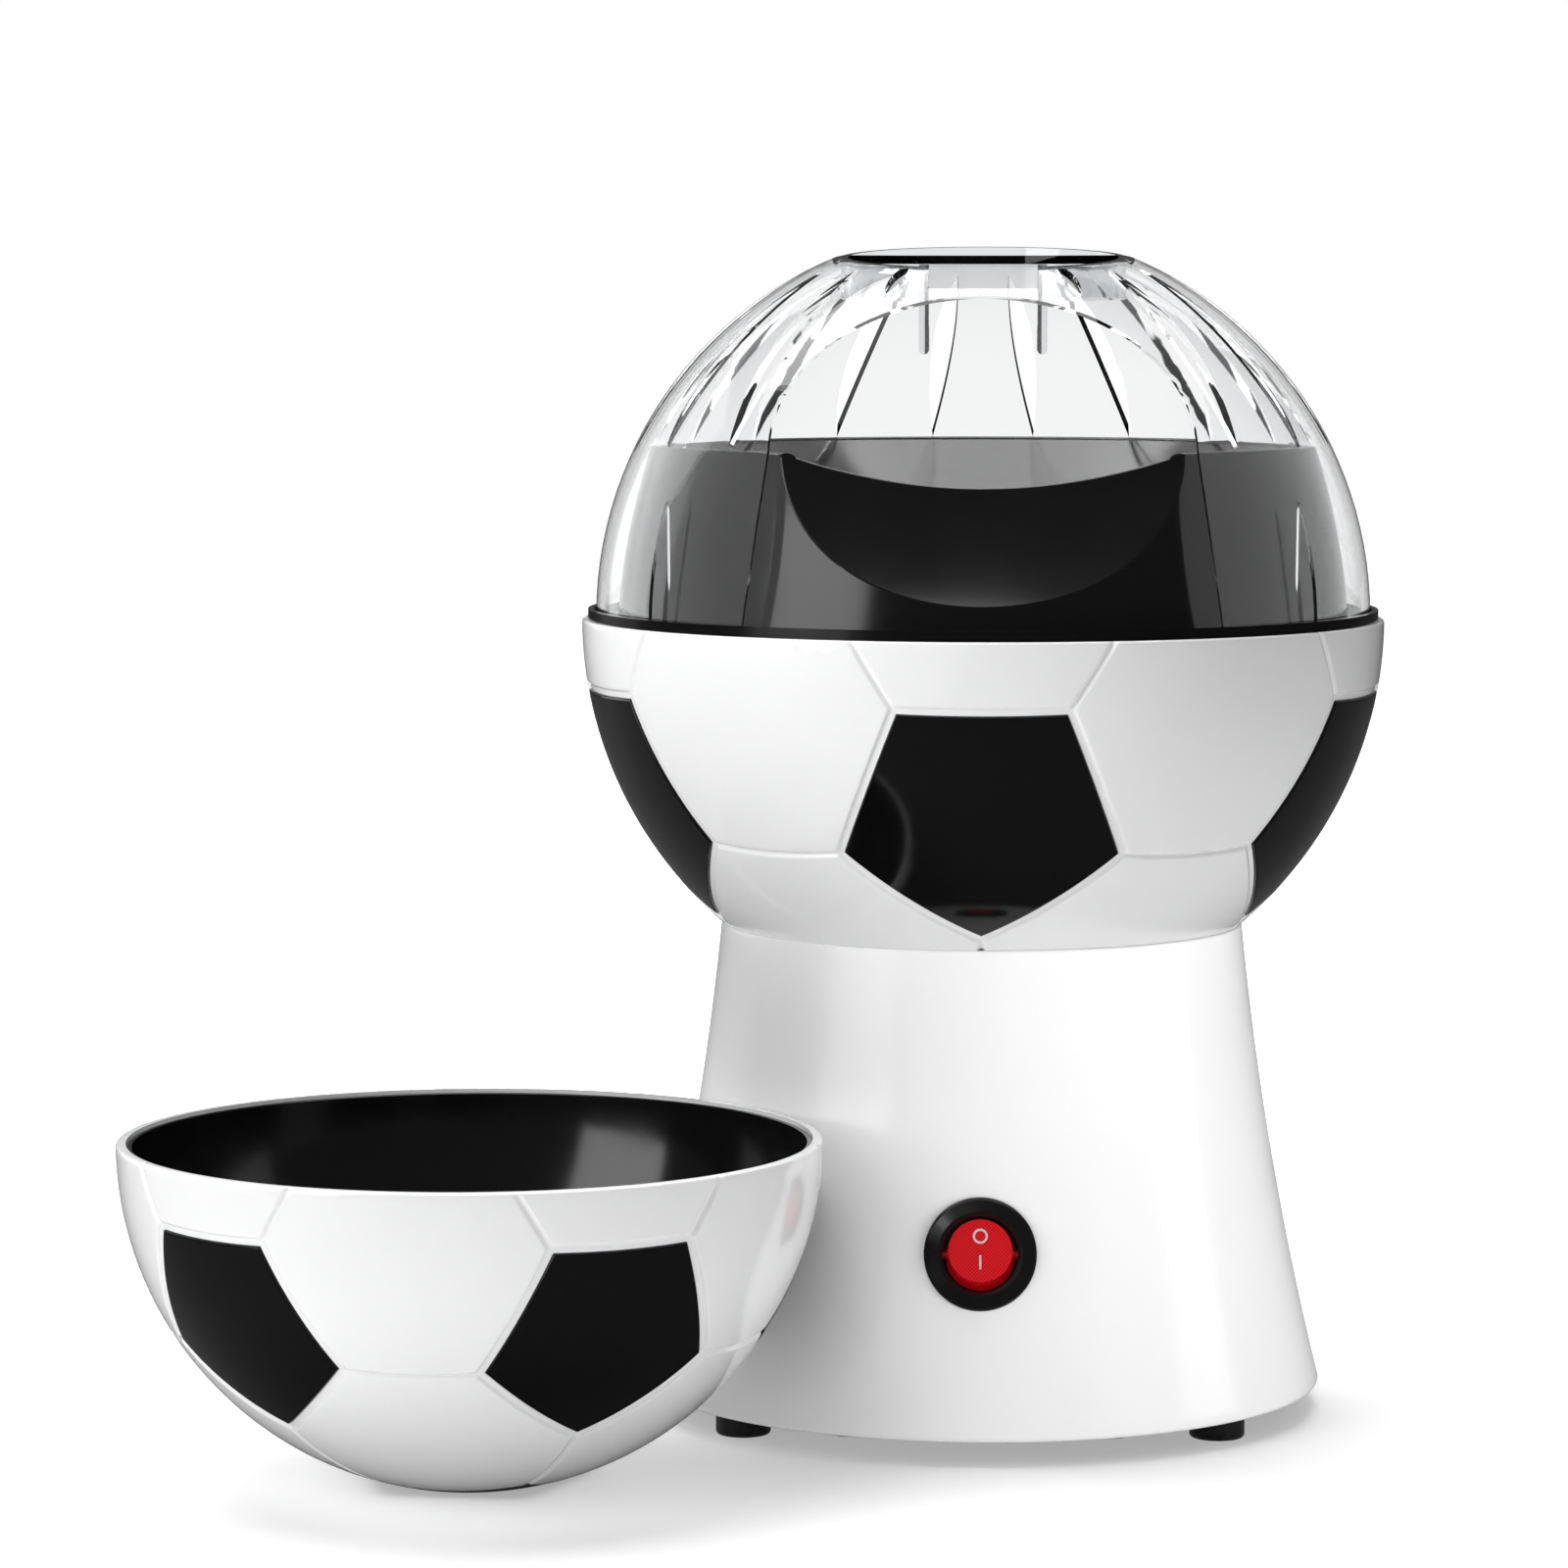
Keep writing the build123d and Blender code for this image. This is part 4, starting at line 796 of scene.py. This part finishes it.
def stand_outline():
    """Closed section of the flared stand: outside, rounded top, deck and inside."""
    top_z = SEAT_Z - STAND_TOP_ROUND
    foot_z = STAND_BOTTOM_Z + STAND_FOOT_ROUND
    heights = np.linspace(foot_z, top_z, STAND_STEPS)
    outer = [(stand_radius(z), z) for z in heights]
    foot_radius = stand_radius(foot_z) - STAND_FOOT_ROUND
    foot = rounding((foot_radius, foot_z), STAND_FOOT_ROUND, -90, 0)[:-1]
    top = rounding((stand_radius(top_z) - STAND_TOP_ROUND, top_z), STAND_TOP_ROUND, 0, 90)[1:]
    deck = SEAT_Z - STAND_WALL
    hollow_top = [(STAND_BORE, SEAT_Z), (STAND_BORE, deck), (stand_radius(deck) - STAND_WALL, deck)]
    inner = [(stand_radius(z) - STAND_WALL, z) for z in heights[::-4] if z < deck - 1]
    bottom = [(stand_radius(STAND_BOTTOM_Z) - STAND_WALL - 0.3, STAND_BOTTOM_Z)]
    return foot + outer + top + hollow_top + inner + bottom


stand = lathe("stand_flare", stand_outline(), stand_lit_white, segments=320)
seat_radius, seat_depth = SWITCH_SEAT
front_wall = wall_place(True, SWITCH_HEIGHT)
cut(stand, drum(seat_radius, seat_depth, HOLE_REACH[1], front_wall))
cut(stand, drum(SWITCH_HOLE, *HOLE_REACH, front_wall))
cut(stand, drum(GLAND_HOLE, *HOLE_REACH, wall_place(False, GLAND_HEIGHT)))
finish_surface(stand, stand_lit_white)
put(stand, "stand", "white_shell", "base_shell")

# ---------------------------------------------------------------- floor, light and camera


def floor():
    """White ground that glows to full white far off, and is darker to polished surfaces."""
    bm = bmesh.new()
    bmesh.ops.create_grid(bm, x_segments=2, y_segments=2, size=FLOOR_SIZE)
    mesh = bpy.data.meshes.new("floor")
    bm.to_mesh(mesh)
    bm.free()
    piece = bpy.data.objects.new("floor", mesh)
    bpy.context.scene.collection.objects.link(piece)
    surface = Surface("floor_white", FLOOR_WHITE, 0.6)
    surface.shader.inputs["Specular IOR Level"].default_value = 0.1
    surface.shader.inputs["Emission Color"].default_value = (1, 1, 1, 1)
    path = surface.node("ShaderNodeLightPath")
    away = surface.node("ShaderNodeVectorMath", operation="LENGTH")
    surface.link(surface.coordinates, away.inputs[0])
    fade = surface.node("ShaderNodeMapRange", interpolation_type="SMOOTHSTEP")
    fade.inputs["From Min"].default_value = FLOOR_FADE[0]
    fade.inputs["From Max"].default_value = FLOOR_FADE[1]
    fade.inputs["To Min"].default_value = FLOOR_GLOW_SEEN
    surface.link(away.outputs["Value"], fade.inputs["Value"])
    glow = surface.node("ShaderNodeMapRange")
    glow.inputs["To Min"].default_value = FLOOR_GLOW_CAST
    surface.link(fade.outputs["Result"], glow.inputs["To Max"])
    through = path.outputs["Is Transmission Ray"]
    surface.link(surface.maths("MAXIMUM", path.outputs["Is Camera Ray"], through), glow.inputs["Value"])
    bounced = path.outputs["Is Diffuse Ray"]
    power = surface.maths("MULTIPLY_ADD", bounced, FLOOR_GLOW_BOUNCED, glow.outputs["Result"])
    surface.link(power, surface.shader.inputs["Emission Strength"])
    tone = surface.node("ShaderNodeMixRGB")
    tone.inputs["Color1"].default_value = (*FLOOR_WHITE, 1)
    tone.inputs["Color2"].default_value = (*FLOOR_MIRRORED, 1)
    surface.link(surface.maths("GREATER_THAN", path.outputs["Is Glossy Ray"], through), tone.inputs["Fac"])
    surface.paint(tone.outputs["Color"])
    surface.vary_roughness(3, 0.1)
    mesh.materials.append(surface.material)


def area_light(name, place, target, size, power, lit=None, mirrored=True):
    """Rectangular softbox aimed at a point, with its width and height in metres and its power in watts.

    lit limits it to some pieces, and mirrored says whether gloss shows it.
    """
    light = bpy.data.lights.new(name, "AREA")
    light.shape = "RECTANGLE"
    light.size, light.size_y = size
    light.energy = power
    lamp = bpy.data.objects.new(name, light)
    bpy.context.scene.collection.objects.link(lamp)
    lamp.location = place
    lamp.visible_glossy = mirrored
    if lit:
        lamp.light_linking.receiver_collection = bpy.data.collections.new(name)
        for piece in lit:
            lamp.light_linking.receiver_collection.objects.link(piece)
    lamp.rotation_euler = (Vector(target) - Vector(place)).to_track_quat("-Z", "Y").to_euler()


def world(seen, cast, ambient):
    """White behind the object as the camera sees it, dimmer where it lights and dimmest where mirrored."""
    sky = bpy.data.worlds.new("studio")
    bpy.context.scene.world = sky
    sky.use_nodes = True
    tree = sky.node_tree
    back = tree.nodes["Background"]
    back.inputs["Color"].default_value = (1, 1, 1, 1)
    path = tree.nodes.new("ShaderNodeLightPath")
    direct = tree.nodes.new("ShaderNodeMath")
    direct.operation = "MAXIMUM"
    mix = tree.nodes.new("ShaderNodeMapRange")
    mix.inputs["To Min"].default_value = cast
    mix.inputs["To Max"].default_value = seen
    tree.links.new(path.outputs["Is Camera Ray"], direct.inputs[0])
    tree.links.new(path.outputs["Is Transmission Ray"], direct.inputs[1])
    tree.links.new(direct.outputs[0], mix.inputs["Value"])
    fill = tree.nodes.new("ShaderNodeMath")
    fill.operation = "MULTIPLY_ADD"
    fill.inputs[1].default_value = ambient
    tree.links.new(path.outputs["Is Diffuse Ray"], fill.inputs[0])
    tree.links.new(mix.outputs["Result"], fill.inputs[2])
    tree.links.new(fill.outputs[0], back.inputs["Strength"])


def camera():
    """Camera in front of the machine, a little to its left and tipped down."""
    lens = bpy.data.cameras.new("camera")
    lens.lens = CAMERA_LENS
    lens.sensor_width = 36
    lens.clip_start = 0.05
    view = bpy.data.objects.new("camera", lens)
    bpy.context.scene.collection.objects.link(view)
    view.location = CAMERA_PLACE
    view.rotation_euler = (radians(90 - CAMERA_PITCH), 0, radians(CAMERA_YAW))
    bpy.context.scene.camera = view


floor()
world(seen=1.0, cast=0.1, ambient=0.05)
all_but_stand = [piece for piece in bpy.data.objects if piece.type == "MESH" and piece is not stand]
LEFT = ((-1.3, -1.0, 0.75), (0, 0, 0.15), (1.0, 1.3))
RIGHT = ((1.1, -0.7, 0.15), (0, 0, 0.05), (0.8, 0.5))
area_light("left_softbox", *LEFT, 15, lit=all_but_stand)
area_light("left_on_ball", *LEFT, 10, lit=[ball_skin], mirrored=False)
area_light("left_on_stand", *LEFT, 9, lit=[stand])
area_light("top_softbox", (-0.2, 0.3, 1.5), (0, 0, 0.1), (1.4, 1.2), 20)
area_light("rear_left", (-1.1, 0.9, 0.6), (0, 0, 0.15), (0.8, 1.0), 2)
area_light("stand_front", (-0.1, -1.5, 0.12), (0, 0, 0.05), (1.8, 0.4), 5, lit=[stand], mirrored=False)
area_light("stand_right", *RIGHT, 6.5, lit=[stand], mirrored=False)
area_light("bowl_right", *RIGHT, 3, lit=[bowl_skin], mirrored=False)
area_light("stand_strip", (1.3, -0.15, 0.3), (0.05, 0, 0.03), (0.5, 0.9), 3, lit=[stand])
camera()
bpy.context.scene.view_settings.view_transform = "Standard"
